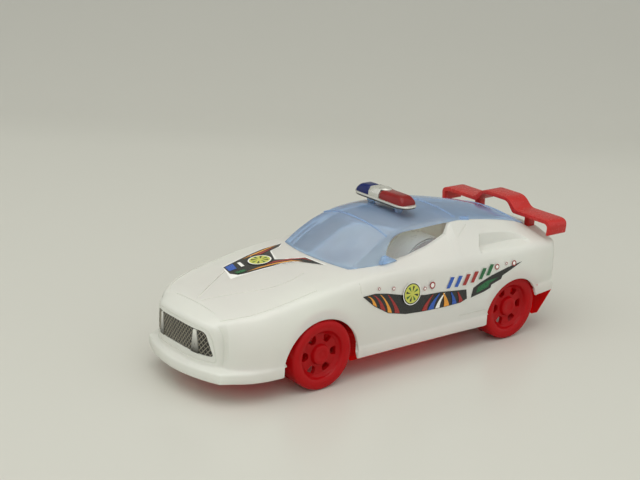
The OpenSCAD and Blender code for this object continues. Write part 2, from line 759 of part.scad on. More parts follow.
module screw_cups() {
    both(front_post[1])
        upright(front_post[0], 0, pan_bottom, post_foot, cup_diameter);
    both(door_post[1])
        upright(door_post[0], 0, pan_bottom, post_foot, cup_diameter);
}

module screw_ways(diameter, from, to) {
    both(front_post[1])
        upright(front_post[0], 0, from, to, diameter);
    both(door_post[1])
        upright(door_post[0], 0, from, to, diameter);
}

module chassis() {
    bore = axle_diameter + 2 * axle_play;
    color("red")
        difference() {
            union() {
                translate([0, 0, pan_bottom])
                    linear_extrude(height = pan_floor)
                        pan_outline();
                tail_tray();
                bearing(front_axle_x);
                bearing(-rear_axle_x);
                screw_cups();
                for (p = drive_pegs)
                    upright(p[0], p[1], pan_top - overlap, pan_top + drive_peg_height, drive_peg_diameter);
            }
            crosswise(front_axle_x, wheel_radius, -pan_waist, pan_waist, bore);
            crosswise(-rear_axle_x, wheel_radius, -pan_waist, pan_waist, bore);
            screw_ways(screw_diameter + 2 * small_gap, pan_bottom, post_foot + overlap);
            screw_ways(screw_head_diameter + 2 * small_gap, pan_bottom - overlap, head_floor);
            gear_slot(pan_top - gear_pocket, overlap + gear_pocket);
        }
}

module chassis_screws() {
    color("silver")
        union() {
            screw_ways(screw_head_diameter, head_floor - screw_head_height, head_floor);
            screw_ways(screw_diameter, head_floor - overlap, post_foot + screw_length);
        }
}

// Wheels: tyre ring, dished web with six openings, hub cap and sleeve, bored from the inside.
bore_depth = wheel_width - 4.4;
tyre_wall = 2.6;
web = 2.4;
face_edge = 0.7;
window_count = 6;
window_inner = 7.4;
window_outer = 11.4;
window_foot = 1.7;
window_head = 3;
sleeve_diameter = 7.4;

module wheel_profile() {
    dish = dish_diameter / 2;
    back = wheel_width - dish_depth - web;
    rotate_extrude($fn = round_steps * 2)
        polygon([[0, back], [wheel_radius - tyre_wall, back], [wheel_radius - tyre_wall, 0],
            [wheel_radius - face_edge, 0], [wheel_radius, face_edge], [wheel_radius, wheel_width - face_edge],
            [wheel_radius - face_edge, wheel_width], [dish + 1.2, wheel_width], [dish, wheel_width - dish_depth],
            [0, wheel_width - dish_depth]]);
}

module wheel() {
    difference() {
        union() {
            wheel_profile();
            cylinder(h = wheel_width - 1.6, d = hub_diameter, $fn = round_steps);
            cylinder(h = wheel_width - dish_depth, d = sleeve_diameter, $fn = round_steps);
        }
        difference() {
            translate([0, 0, -1])
                cylinder(h = wheel_width - dish_depth - web + 1, d = hub_diameter + 1, $fn = round_steps);
            translate([0, 0, -2])
                cylinder(h = wheel_width, d = sleeve_diameter, $fn = round_steps);
        }
        for (k = [0:window_count - 1])
            rotate(k * 360 / window_count)
                linear_extrude(height = wheel_width)
                    polygon([[window_inner, -window_foot], [window_outer, -window_head],
                        [window_outer, window_head], [window_inner, window_foot]]);
        translate([0, 0, -overlap])
            cylinder(h = bore_depth + overlap, d = axle_diameter, $fn = round_steps);
    }
}

module left_wheel(x) {
    translate([x, wheel_face_y - wheel_width, wheel_radius])
        rotate([-90, 0, 0])
            wheel();
}

module front_left_wheel() {
    color("red")
        left_wheel(front_axle_x);
}

module front_right_wheel() {
    mirror([0, 1, 0])
        front_left_wheel();
}

module rear_left_wheel() {
    color("red")
        left_wheel(-rear_axle_x);
}

module rear_right_wheel() {
    mirror([0, 1, 0])
        rear_left_wheel();
}

axle_end = wheel_face_y - wheel_width + bore_depth;
module front_axle() {
    color("silver")
        crosswise(front_axle_x, wheel_radius, -axle_end, axle_end, axle_diameter);
}

module rear_axle() {
    color("silver")
        crosswise(-rear_axle_x, wheel_radius, -axle_end, axle_end, axle_diameter);
}

// Involute teeth, drawn flank by flank.
pressure = 25;
tooth_top = 0.8;
tooth_root = 1.05;
flank_steps = 4;
function involute(a) = tan(a) * 180 / PI - a;
function tooth_half(teeth, r) =
    let (pitch = tooth_module * teeth / 2, base = pitch * cos(pressure))
    90 / teeth - tooth_play / 4 / pitch * 180 / PI + involute(pressure) - involute(acos(min(1, base / max(r, base))));
function polar(r, a) = [r * cos(a), r * sin(a)];
function tooth_radii(teeth) =
    let (
        pitch = tooth_module * teeth / 2,
        base = max(pitch * cos(pressure), pitch - tooth_module * tooth_root + 0.01),
        tip = pitch + tooth_module * tooth_top
    )
    concat([pitch - tooth_module * tooth_root], [for (k = [0:flank_steps]) mix(base, tip, k / flank_steps)]);
function gear_points(teeth) =
    let (radii = tooth_radii(teeth), n = len(radii))
    [for (t = [0:teeth - 1]) each concat(
        [for (k = [0:n - 1]) polar(radii[k], 360 * t / teeth - tooth_half(teeth, radii[k]))],
        [for (k = [n - 1:-1:0]) polar(radii[k], 360 * t / teeth + tooth_half(teeth, radii[k]))])];

// Gear seen from the right side of the car: x forward, z up; turned so a tooth points along an angle.
module gear(centre, from, to, teeth, angle) {
    translate([centre[0], to, centre[1]])
        rotate([90, 0, 0])
            linear_extrude(height = to - from)
                rotate(angle)
                    polygon(gear_points(teeth));
}

first_angle = 50;
second_angle = 0;
first_reach = tooth_module * (axle_teeth + pinion_teeth) / 2;
second_reach = tooth_module * (idler_teeth + pinion_teeth) / 2;
axle_centre = [-rear_axle_x, wheel_radius];
idler_centre = axle_centre + polar(first_reach, first_angle);
fly_centre = idler_centre + polar(second_reach, second_angle);
gear_inside = gearbox_half - gearbox_plate;
side_play = 0.4;
low_plane = [-gear_inside + side_play, -2];
high_plane = [0, gear_inside - side_play - 2.4];
pinion_phase = first_angle + 180 + 180 / pinion_teeth;
fly_phase = second_angle + 180 + 180 / pinion_teeth;

// Room for the axle gear in the gearbox floor and the pan floor.
gear_pocket = 1;
gear_slot_half = 6;
module gear_slot(from, height) {
    translate([axle_centre[0] - gear_slot_half, -gear_inside, from])
        cube([2 * gear_slot_half, gear_inside + low_plane[1] + side_play, height]);
}

module axle_gear() {
    color("ivory")
        difference() {
            gear(axle_centre, low_plane[0], low_plane[1], axle_teeth, first_angle);
            crosswise(axle_centre[0], axle_centre[1], -gearbox_half, gearbox_half, axle_diameter);
        }
}

module idler_gear() {
    color("ivory")
        difference() {
            union() {
                gear(idler_centre, low_plane[0], high_plane[0] + overlap, pinion_teeth, pinion_phase);
                gear(idler_centre, high_plane[0], high_plane[1], idler_teeth, second_angle);
                crosswise(idler_centre[0], idler_centre[1], high_plane[1] - overlap, gear_inside - side_play,
                    pin_diameter + 3);
            }
            crosswise(idler_centre[0], idler_centre[1], -gearbox_half, gearbox_half, pin_diameter + 2 * pin_play);
        }
}

module idler_pin() {
    color("silver")
        crosswise(idler_centre[0], idler_centre[1], -gearbox_half, gearbox_half, pin_diameter);
}

fly_from = gearbox_half + screw_head_height + 0.6;
module flywheel_shaft() {
    color("silver")
        union() {
            crosswise(fly_centre[0], fly_centre[1], -gearbox_half, fly_from + flywheel_width, pin_diameter);
            gear(fly_centre, high_plane[0], high_plane[1], pinion_teeth, fly_phase);
        }
}

module flywheel() {
    color("gray")
        difference() {
            crosswise(fly_centre[0], fly_centre[1], fly_from, fly_from + flywheel_width, flywheel_diameter);
            crosswise(fly_centre[0], fly_centre[1], fly_from - 1, fly_from + flywheel_width + 1, pin_diameter);
            crosswise(fly_centre[0], fly_centre[1], fly_from + 2, fly_from + flywheel_width + 1,
                flywheel_diameter - 7);
        }
    color("gray")
        difference() {
            crosswise(fly_centre[0], fly_centre[1], fly_from, fly_from + flywheel_width, pin_diameter + 4);
            crosswise(fly_centre[0], fly_centre[1], fly_from - 1, fly_from + flywheel_width + 1, pin_diameter);
        }
}

// Gearbox: right side with floor and spacers, left cover plate, two crosswise screws.
box_rear = -rear_axle_x - 13;
box_front = fly_centre[0] + 9;
box_top = idler_centre[1] + 12;
spacers = [[box_rear + 4, box_top - 4], [box_front - 4, box_top - 4]];
spacer_diameter = 6;
box_screw_length = 14;

module box_plate(from, to) {
    translate([0, to, 0])
        rotate([90, 0, 0])
            linear_extrude(height = to - from)
                polygon([[box_rear, pan_top], [box_front, pan_top], [box_front, box_top], [box_rear, box_top]]);
}

module box_bores(from, to) {
    crosswise(axle_centre[0], axle_centre[1], from, to, axle_diameter + 4 * small_gap);
    crosswise(idler_centre[0], idler_centre[1], from, to, pin_diameter);
    crosswise(fly_centre[0], fly_centre[1], from, to, pin_diameter + 2 * pin_play);
}

module gearbox_right() {
    color("lightgray")
        difference() {
            union() {
                box_plate(-gearbox_half, -gear_inside);
                translate([box_rear, -gearbox_half, pan_top])
                    cube([box_front - box_rear, gearbox_half + gear_inside, gearbox_plate]);
                for (p = spacers)
                    crosswise(p[0], p[1], -gear_inside - overlap, gear_inside, spacer_diameter);
            }
            box_bores(-gearbox_half - 1, -gear_inside + 1);
            gear_slot(pan_top - overlap, gearbox_plate + 2 * overlap);
            for (p = spacers)
                crosswise(p[0], p[1], gearbox_half - box_screw_length, gearbox_half, screw_diameter);
            for (p = drive_pegs)
                upright(p[0], p[1], pan_top - overlap, pan_top + gearbox_plate + overlap, drive_peg_diameter);
        }
}

module gearbox_left() {
    color("lightgray")
        difference() {
            box_plate(gear_inside, gearbox_half);
            box_bores(gear_inside - 1, gearbox_half + 1);
            for (p = spacers)
                crosswise(p[0], p[1], gear_inside - 1, gearbox_half + 1, screw_diameter + 2 * small_gap);
        }
}

module gearbox_screws() {
    color("silver")
        for (p = spacers) {
            crosswise(p[0], p[1], gearbox_half - box_screw_length, gearbox_half + overlap, screw_diameter);
            crosswise(p[0], p[1], gearbox_half, gearbox_half + screw_head_height, screw_head_diameter);
        }
}

body_shell();
canopy();
chassis();
spoiler();
light_bar_base();
light_bar_blue_lens();
light_bar_red_lens();
light_bar_dome();
grille_sticker();
hood_sticker();
left_side_sticker();
right_side_sticker();
chassis_screws();
front_axle();
front_left_wheel();
front_right_wheel();
rear_axle();
rear_left_wheel();
rear_right_wheel();
axle_gear();
gearbox_right();
gearbox_left();
gearbox_screws();
idler_pin();
idler_gear();
flywheel_shaft();
flywheel();
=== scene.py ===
"""Toy police car: moulded white shell, clear blue canopy, light bar, red wing, pan and wheels."""

import math

import bmesh
import bpy
from bpy.props import FloatProperty, FloatVectorProperty, IntProperty, PointerProperty
from mathutils import Matrix, Vector


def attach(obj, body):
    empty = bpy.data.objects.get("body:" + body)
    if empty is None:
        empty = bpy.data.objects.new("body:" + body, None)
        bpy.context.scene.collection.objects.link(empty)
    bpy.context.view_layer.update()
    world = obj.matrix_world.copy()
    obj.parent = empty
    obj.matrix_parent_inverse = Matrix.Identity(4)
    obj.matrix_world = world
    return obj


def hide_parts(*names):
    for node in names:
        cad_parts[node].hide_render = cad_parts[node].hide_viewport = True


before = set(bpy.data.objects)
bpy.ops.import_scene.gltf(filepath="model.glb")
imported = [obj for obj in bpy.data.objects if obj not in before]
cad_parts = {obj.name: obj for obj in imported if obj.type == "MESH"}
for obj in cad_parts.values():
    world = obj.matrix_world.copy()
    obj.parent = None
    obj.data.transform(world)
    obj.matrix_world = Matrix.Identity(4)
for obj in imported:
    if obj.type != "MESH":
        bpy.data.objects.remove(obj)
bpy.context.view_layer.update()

bl_info = {
    "name": "Toy police car",
    "version": (1, 0, 0),
    "blender": (4, 5, 0),
    "location": "3D View > Sidebar > Toy car",
    "description": "Builds the visible pieces of a friction toy police car and its stage",
    "category": "Object",
}

MM = 0.001
TINY = 1e-6


# Numbers and curves. Lengths in this part are millimetres.


def srgb(red, green, blue):
    """Linear colour of a screen colour given as 0 to 255."""
    parts = []
    for value in (red, green, blue):
        c = value / 255
        parts.append(c / 12.92 if c <= 0.04045 else ((c + 0.055) / 1.055) ** 2.4)
    return tuple(parts)


def mix(a, b, u):
    return a + (b - a) * u


def share(x, low, high):
    """Where x lies on the way from one value to another."""
    return (x - low) / max(high - low, TINY)


def smooth(low, high, x):
    u = min(max((x - low) / (high - low), 0), 1)
    return u * u * (3 - 2 * u)


def bend(p, corner, q, t):
    """Point of the curve from p to q that leans towards a corner."""
    return p * (1 - t) ** 2 + corner * (2 * t * (1 - t)) + q * t**2


def lookup(x, rows):
    """Straight lines through rows of position and value."""
    if x <= rows[0][0]:
        return rows[0][1]
    for (a, low), (b, high) in zip(rows, rows[1:]):
        if x <= b:
            return mix(low, high, (x - a) / (b - a))
    return rows[-1][1]


def curve(x, rows):
    """Smooth curve through rows of position and value, with slopes from the neighbours."""
    last = len(rows) - 1
    i = 0
    while i < last - 1 and x >= rows[i + 1][0]:
        i += 1

    def slope(k):
        a, b = rows[max(k - 1, 0)], rows[min(k + 1, last)]
        return (b[1] - a[1]) / (b[0] - a[0])

    gap = rows[i + 1][0] - rows[i][0]
    u = min(max((x - rows[i][0]) / gap, 0), 1)
    rise = rows[i + 1][1] - rows[i][1]
    enter, leave = slope(i) * gap, slope(i + 1) * gap
    return rows[i][1] + u * (enter + u * (3 * rise - 2 * enter - leave + u * (enter + leave - 2 * rise)))


# Body lines: half widths (y) and heights (z) along the length, as in the CAD shell.
SILL_Y = [(-122, 45), (-105, 47.2), (-84, 47.8), (-64, 46.6), (-40, 45.8), (0, 45.5), (30, 45.5), (60, 45.6),
          (88, 45.2), (95, 44.2), (100, 42.8), (105, 40.6), (110, 37.2), (117, 29.5)]
LIP_Y = [(84, 45.7), (95, 45.2), (100, 44.3), (105, 42.9), (111, 39.8), (115, 37), (117, 35)]
SILL_Z = [(-106, 25), (-62, 13)]
SIDE_Y = [(-122, 45.6), (-105, 48.4), (-84, 49.2), (-64, 48.2), (-40, 47.2), (0, 46.6), (30, 46.4),
          (60, 46.6), (88, 45.8), (95, 44.6), (100, 43.2), (105, 41), (110, 37.6), (117, 29.8)]
SIDE_Z = [(-122, 40), (-84, 39), (0, 33), (60, 36), (117, 31)]
SHOULDER_Y = [(-122, 44.3), (-106, 46), (-89, 46.8), (-58, 46), (-24, 45), (8, 44.3), (40, 43.8), (60, 43.2),
              (80, 42), (93, 40.4), (100, 38.6), (107, 35), (113, 30.6), (117, 27.2)]
SHOULDER_Z = [(-122, 56), (-106, 57.2), (-89, 56.8), (-58, 56.3), (-24, 56.2), (8, 57.6), (40, 56.6),
              (60, 54.2), (80, 51), (93, 48.8), (107, 45.8), (113, 43.8), (117, 41.8)]
BELT_Y = [(-128, 24.6), (-116, 24.4), (-107, 24.8), (-85, 27), (-64, 28.6), (-43, 30.6), (-38, 33),
          (-24, 34.6), (-10, 35.2), (8, 35), (20, 33.4), (30, 31), (40, 30), (60, 29), (80, 28), (107, 24),
          (117, 19)]
BELT_Z = [(-128, 60), (-115.5, 60), (-113, 62.3), (-104, 65.6), (-92, 68.6), (-78, 71.4), (-64, 73.8),
          (-50, 75.5), (-43, 75.8), (-38, 69.4), (-24, 65.2), (-8, 61.9), (8, 60), (20, 59.8), (30, 59.2),
          (40, 58.4), (60, 56.3), (80, 53), (107, 47.6), (117, 43.6)]
CROWN_Z = [(25, 60.8), (40, 59.6), (60, 57.2), (80, 54), (107, 48.6), (117, 44.6)]
HOOD_REAR = 25
LIP_REAR = 84
LIP_HEIGHT = 5.2
LIP_SLOPE = 1.2
SILL_LIP = 0.4
HOOD_ROUND = 0.25
SIDE_ROUND = 0.6
NOSE_X = 124.5
TAIL_X = -128
LIP_REACH = 3.5
NOSE_BOW = (0.003, 0.0000075)
LIP_BOW = (0.0068, 0)
TAIL_BOW = (-0.0036, 0)
NOSE_STATION = 117
TAIL_STATION = -122
LIP_POINTS = 2
FIXED_POINTS = 3
ARCHES = [(60, 15.5, 25.5), (-84.6, 18.1, 21)]
AXLES = {"front": 60, "rear": -84}
WHEEL_RADIUS = 20
WHEEL_FACE = 46.6


def crown_z(x):
    return lookup(x, BELT_Z) if x < HOOD_REAR else curve(x, CROWN_Z)


def half_controls(x):
    """Corner points of the half section from the rim up to the middle plane."""
    low, floor_z = curve(x, SILL_Y), lookup(x, SILL_Z)
    lip = low + SILL_LIP if x < LIP_REAR else curve(x, LIP_Y)
    bulge, bulge_z = curve(x, SIDE_Y), curve(x, SIDE_Z)
    top, top_z = curve(x, SHOULDER_Y), curve(x, SHOULDER_Z)
    edge, edge_z = curve(x, BELT_Y), lookup(x, BELT_Z)
    ledge = floor_z + LIP_HEIGHT
    crown = crown_z(x)
    return [
        (lip, floor_z), (lip, ledge), (low, ledge + LIP_SLOPE),
        (mix(low, bulge, 0.75), mix(ledge + LIP_SLOPE, bulge_z, 0.5)), (bulge, bulge_z),
        (mix(bulge, top, 0.5) + SIDE_ROUND, mix(bulge_z, top_z, 0.6)), (top, top_z),
        (mix(top, edge, 0.5), mix(top_z, edge_z, 0.5)), (edge, edge_z),
        (edge / 2, mix(crown, edge_z, HOOD_ROUND)), (0, crown),
    ]


# A corner of this size takes up both its sides.
FULL = 100
CORNER_STEPS = [0, 4, 4, 5, 5, 5, 9, 30, 9, 12]
LOW_COUNT = 1 + sum(CORNER_STEPS[1:6])
PANEL_END = LOW_COUNT + sum(CORNER_STEPS[6:8])
SHOULDER_SIZE = [(-110, 3), (-60, 3), (0, 4), (40, 7), (100, 8)]
BELT_SIZE = [(-113, 1), (22, 1), (34, 6), (110, 8)]


def corner_sizes(x):
    return [0, 1.3, 1.5, FULL, FULL, FULL, lookup(x, SHOULDER_SIZE), FULL, lookup(x, BELT_SIZE), FULL]


def rounded(points, sizes):
    """Points of one half row with every corner turned into a short curve, and the middle point last."""
    out = [points[0]]
    for i in range(1, len(points) - 1):
        b = points[i]
        to_a, to_c = points[i - 1] - b, points[i + 1] - b
        p = b + to_a * (min(sizes[i], to_a.length / 2) / max(to_a.length, TINY))
        q = b + to_c * (min(sizes[i], to_c.length / 2) / max(to_c.length, TINY))
        steps = CORNER_STEPS[i]
        out += [bend(p, b, q, (k + 0.5) / steps) for k in range(steps)]
    return out + [points[-1]]


def arch_height(x):
    """Height of the wheel arch at x, or None outside both arches."""
    for centre, height, radius in ARCHES:
        if abs(x - centre) < radius:
            return height + math.sqrt(radius**2 - (x - centre) ** 2)
    return None


def lifted_rim(row, height):
    """The lower part of a half row drawn again from a wheel arch up."""
    low = row[:LOW_COUNT]
    runs = [0]
    for a, b in zip(low, low[1:]):
        runs.append(runs[-1] + (b - a).length)
    start = 0
    for i in range(LOW_COUNT - 1):
        if low[i].z <= height <= low[i + 1].z:
            start = mix(runs[i], runs[i + 1], share(height, low[i].z, low[i + 1].z))
    out = []
    for run in runs:
        want = start + (runs[-1] - start) * run / runs[-1]
        i = 0
        while i < LOW_COUNT - 2 and runs[i + 1] < want:
            i += 1
        u = share(want, runs[i], runs[i + 1])
        out.append(low[i].lerp(low[i + 1], min(max(u, 0), 1)))
    return out + row[LOW_COUNT:]


def flat_row(x):
    row = rounded([Vector((x, y, z)) for y, z in half_controls(x)], corner_sizes(x))
    height = arch_height(x)
    return lifted_rim(row, height) if height is not None and height > row[0].z else row


def bowed(bow, y):
    return bow[0] * y * y + bow[1] * y**4


def end_row(station, face, lip, face_bow, lip_bow, wide, tall, back):
    """A row on the bowed nose or tail: the station's section drawn in, and set back by an edge round."""
    section = half_controls(station)
    ledge = section[FIXED_POINTS - 1][1]
    sign = 1 if face > 0 else -1
    points = []
    for i, (y, z) in enumerate(section):
        y *= wide
        if i >= FIXED_POINTS:
            z = mix(ledge, z, tall)
        if i < LIP_POINTS:
            x = lip - bowed(lip_bow, y)
        else:
            x = face - bowed(face_bow, y) - sign * back * min(i / FIXED_POINTS, 1)
        points.append(Vector((x, y, z)))
    return rounded(points, corner_sizes(station))


EDGE_STEPS = 5
FACE_STEPS = 12
FACE_WIDTH = 0.04
FACE_HEIGHT = 0.55


def edge_steps(radius, reach_y, reach_z):
    """Round between the skin and an end face, then the face drawn in to the middle."""
    out = []
    for k in range(EDGE_STEPS + 1):
        a = math.pi / 2 * k / EDGE_STEPS
        inset = radius * (1 - math.cos(a))
        out.append((1 - inset / reach_y, 1 - inset / reach_z, radius * (1 - math.sin(a))))
    wide, tall, _ = out[-1]
    for k in range(1, FACE_STEPS + 1):
        u = k / FACE_STEPS
        out.append((wide * mix(1, FACE_WIDTH, u), mix(tall, FACE_HEIGHT, u), 0))
    return out


END_ROWS = (113.5, -117.5)
FIRST_ROW = 113
ROW_STEP = 1.6
ROW_COUNT = 145
ARCH_STEPS = 60
CLOSE_ROWS = ((-44.5, -37, 0.5), (-66, -56, 0.4), (-116.5, -112, 0.5))
LEAST_GAP = 0.04


def stations():
    """Places of the flat rows, close together at the arches, the pillar step and the deck step."""
    places = set(END_ROWS)
    places.update(round(FIRST_ROW - ROW_STEP * k, 3) for k in range(ROW_COUNT))
    for centre, _, radius in ARCHES:
        angles = [math.pi * k / ARCH_STEPS for k in range(ARCH_STEPS + 1)]
        places.update(round(centre + radius * math.cos(a), 3) for a in angles)
        places.update((centre + radius + 0.05, centre - radius - 0.05))
    for low, high, step in CLOSE_ROWS:
        places.update(low + step * k for k in range(int((high - low) / step) + 1))
    rows = sorted(places, reverse=True)
    kept = [rows[0]]
    for x in rows[1:]:
        if kept[-1] - x > LEAST_GAP:
            kept.append(x)
    return kept


# Notch in the rear pillar: shares of the panel height, and the lean of its front end.
POCKET_TOP = [(-101, 0.1), (-97, 0.42), (-92, 0.54), (-86, 0.6), (-74, 0.61), (-57, 0.62)]
POCKET_FOOT = 0.1
POCKET_BEND = 0.55
POCKET_FRONT = -57
POCKET_LEAN = 6.5 / 0.42
POCKET_REAR, POCKET_REACH = -104, -52


def pocket(x, u, low, high):
    """Shift of the side panel at share u of its height into a notch with a flat floor and a steep wall."""
    top = lookup(x, POCKET_TOP)
    front = POCKET_FRONT - POCKET_LEAN * (u - 0.2)
    depth = smooth(front + 0.5, front - 0.7, x)
    if not POCKET_FOOT < u < top or depth == 0:
        return Vector((0, 0, 0))
    start, end = low.lerp(high, POCKET_FOOT), low.lerp(high, top)
    foot = Vector((x, end.y + 0.9, start.z + 0.13 * (start.y - end.y)))
    v = (u - POCKET_FOOT) / (top - POCKET_FOOT)
    if v < POCKET_BEND:
        to = start.lerp(foot, v / POCKET_BEND)
    else:
        to = foot.lerp(end, (v - POCKET_BEND) / (1 - POCKET_BEND))
    return (to - low.lerp(high, u)) * depth


def shell_half_rows():
    rows = []
    for step in reversed(edge_steps(radius=2.2, reach_y=29, reach_z=20)):
        rows.append(end_row(NOSE_STATION, NOSE_X, NOSE_X + LIP_REACH, NOSE_BOW, LIP_BOW, *step))
    for x in stations():
        row = flat_row(x)
        if POCKET_REAR < x < POCKET_REACH:
            low = Vector((x, curve(x, SHOULDER_Y), curve(x, SHOULDER_Z)))
            high = Vector((x, curve(x, BELT_Y), lookup(x, BELT_Z)))
            for j in range(LOW_COUNT, PANEL_END):
                row[j] = row[j] + pocket(x, (row[j].z - low.z) / (high.z - low.z), low, high)
        rows.append(row)
    for step in edge_steps(radius=2.6, reach_y=45, reach_z=30):
        rows.append(end_row(TAIL_STATION, TAIL_X, TAIL_X, TAIL_BOW, TAIL_BOW, *step))
    return rows


def top_skin(x, y):
    """Height of the hood or shoulder above a point, in the same rounded section as the shell."""
    row = flat_row(x)[LOW_COUNT:]
    y = abs(y)
    for a, b in zip(row, row[1:]):
        if b.y <= y <= a.y:
            return mix(b.z, a.z, share(y, b.y, a.y))
    return row[-1].z


SIDE_LEAST_Y = 30
LIP_TOP_Z = 20


def side_skin(x, z):
    """Half width of the shell side at a height."""
    row = flat_row(x)
    best = row[0].y
    for a, b in zip(row, row[1:]):
        if a.z <= z <= b.z and b.y > SIDE_LEAST_Y:
            best = mix(a.y, b.y, share(z, a.z, b.z))
            if b.z > LIP_TOP_Z:
                break
    return best


def side_top(x, z):
    """Half width of the sloping panel between the shoulder and the belt at a height."""
    row = flat_row(x)[LOW_COUNT:]
    for a, b in zip(row, row[1:]):
        if a.z <= z <= b.z:
            return mix(a.y, b.y, share(z, a.z, b.z))
    return row[0].y


# Mesh tools.


def shade(mesh, angle=34):
    mesh.polygons.foreach_set("use_smooth", [True] * len(mesh.polygons))
    mesh.set_sharp_from_angle(angle=math.radians(angle))


def link(name, data):
    obj = bpy.data.objects.new(name, data)
    bpy.context.scene.collection.objects.link(obj)
    return obj


def from_bmesh(name, bm, angle=34):
    mesh = bpy.data.meshes.new(name)
    bm.to_mesh(mesh)
    bm.free()
    shade(mesh, angle)
    return link(name, mesh)


def from_points(name, points, faces, angle=34, weld=TINY):
    """Object from millimetre points and faces, welded, with normals outwards."""
    bm = bmesh.new()
    verts = [bm.verts.new(Vector(p) * MM) for p in points]
    for face in faces:
        bm.faces.new([verts[i] for i in dict.fromkeys(face)])
    bmesh.ops.remove_doubles(bm, verts=bm.verts, dist=weld)
    bmesh.ops.dissolve_degenerate(bm, edges=bm.edges, dist=weld)
    bmesh.ops.recalc_face_normals(bm, faces=bm.faces)
    return from_bmesh(name, bm, angle)


def lofted(rows, size):
    """Faces between closed rows of points, each row of that size."""
    faces = []
    for s in range(rows - 1):
        for j in range(size):
            a, b = s * size + j, s * size + (j + 1) % size
            faces.append([a, b, b + size, a + size])
    return faces


def grid_normal(grid, s, j, across=None):
    """Direction square to a grid of points at row s and column j."""
    row = grid[s]
    along = grid[min(s + 1, len(grid) - 1)][j] - grid[max(s - 1, 0)][j]
    if across is None:
        across = row[min(j + 1, len(row) - 1)] - row[max(j - 1, 0)]
    return along.cross(across)


def flat(u, v, w):
    """Place of a prism point whose outline is seen from above."""
    return (u, v, w)


def upright(u, v, w):
    """Place of a prism point whose outline is seen from the side."""
    return (u, w, v)


def prism(name, outline, place, depth):
    """Closed prism: outline of 2-D points, place(u, v, w) gives the 3-D point at depth w."""
    n = len(outline)
    points = [place(u, v, w) for w in depth for u, v in outline]
    faces = [list(range(n)), list(range(n, 2 * n))[::-1]]
    return from_points(name, points, faces + lofted(2, n))


def soften(obj, width, segments=3, angle=30, keep=None):
    """Rounds the sharp edges of a mesh; keep says which edge middles are left alone."""
    bm = bmesh.new()
    bm.from_mesh(obj.data)
    edges = []
    for edge in bm.edges:
        if len(edge.link_faces) == 2 and edge.calc_face_angle(0) > math.radians(angle):
            if keep is None or not keep((edge.verts[0].co + edge.verts[1].co) / 2 / MM):
                edges.append(edge)
    bmesh.ops.bevel(bm, geom=edges, offset=width * MM, segments=segments, profile=0.5, affect="EDGES",
                    clamp_overlap=True)
    bm.to_mesh(obj.data)
    bm.free()
    shade(obj.data)
    return obj


def combine(obj, tool, operation="DIFFERENCE"):
    """Boolean of two closed meshes; the tool is used up."""
    modifier = obj.modifiers.new("combine", "BOOLEAN")
    modifier.operation = operation
    modifier.solver = "MANIFOLD"
    modifier.object = tool
    graph = bpy.context.evaluated_depsgraph_get()
    mesh = bpy.data.meshes.new_from_object(obj.evaluated_get(graph))
    obj.modifiers.remove(modifier)
    obj.data = mesh
    bpy.data.objects.remove(tool)
    shade(mesh)
    return obj


def join(name, parts):
    """One object from several, without any change of shape."""
    bm = bmesh.new()
    for part in parts:
        bm.from_mesh(part.data)
        bpy.data.objects.remove(part)
    return from_bmesh(name, bm)


def round_outline(points, size, steps=5):
    """Closed 2-D outline with its corners rounded; size is one number or one per corner."""
    out = []
    n = len(points)
    for i, point in enumerate(points):
        b = Vector(point)
        a, c = Vector(points[i - 1]) - b, Vector(points[(i + 1) % n]) - b
        r = size[i] if isinstance(size, (list, tuple)) else size
        p = b + a * (min(r, a.length * 0.48) / a.length)
        q = b + c * (min(r, c.length * 0.48) / c.length)
        out += [tuple(bend(p, b, q, k / steps)) for k in range(steps + 1)]
    return out


def ring(centre, radius, steps=28):
    angles = [2 * math.pi * k / steps for k in range(steps)]
    return [(centre[0] + radius * math.cos(a), centre[1] + radius * math.sin(a)) for a in angles]


def dense(path, steps):
    """A 2-D path with extra points between its corners."""
    out = []
    for a, b in zip(path, path[1:]):
        out += [(mix(a[0], b[0], k / steps), mix(a[1], b[1], k / steps)) for k in range(steps)]
    return out + [path[-1]]


# No tube runs along this direction.
TUBE_SIDE = Vector((0.13, 0.21, 0.97))


def tube(name, path, radius, sides=6):
    """Closed tube along a path of millimetre points."""
    path = [Vector(p) for p in path]
    last = len(path) - 1
    points = []
    for i, p in enumerate(path):
        ahead = (path[min(i + 1, last)] - path[max(i - 1, 0)]).normalized()
        across = ahead.cross(TUBE_SIDE).normalized()
        up = across.cross(ahead)
        for k in range(sides):
            a = 2 * math.pi * k / sides
            points.append(p + across * (radius * math.cos(a)) + up * (radius * math.sin(a)))
    ends = [list(range(sides))[::-1], [last * sides + k for k in range(sides)]]
    return from_points(name, points, lofted(len(path), sides) + ends)


def spin(name, profile, centre, side, steps=96):
    """Solid of revolution about the Y direction; profile rows are radius and distance along the axis."""
    points, faces = [], []
    for k in range(steps):
        a = 2 * math.pi * k / steps
        for r, w in profile:
            points.append((centre[0] + r * math.cos(a), side * w, centre[1] + r * math.sin(a)))
    n = len(profile)
    for k in range(steps):
        for i in range(n - 1):
            a, b = k * n + i, (k + 1) % steps * n + i
            faces.append([a, b, b + 1, a + 1])
    return from_points(name, points, faces)


def cut(bm, at, normal):
    """Splits the faces that a plane crosses."""
    bmesh.ops.bisect_plane(bm, geom=bm.verts[:] + bm.edges[:] + bm.faces[:], plane_co=at, plane_no=normal)


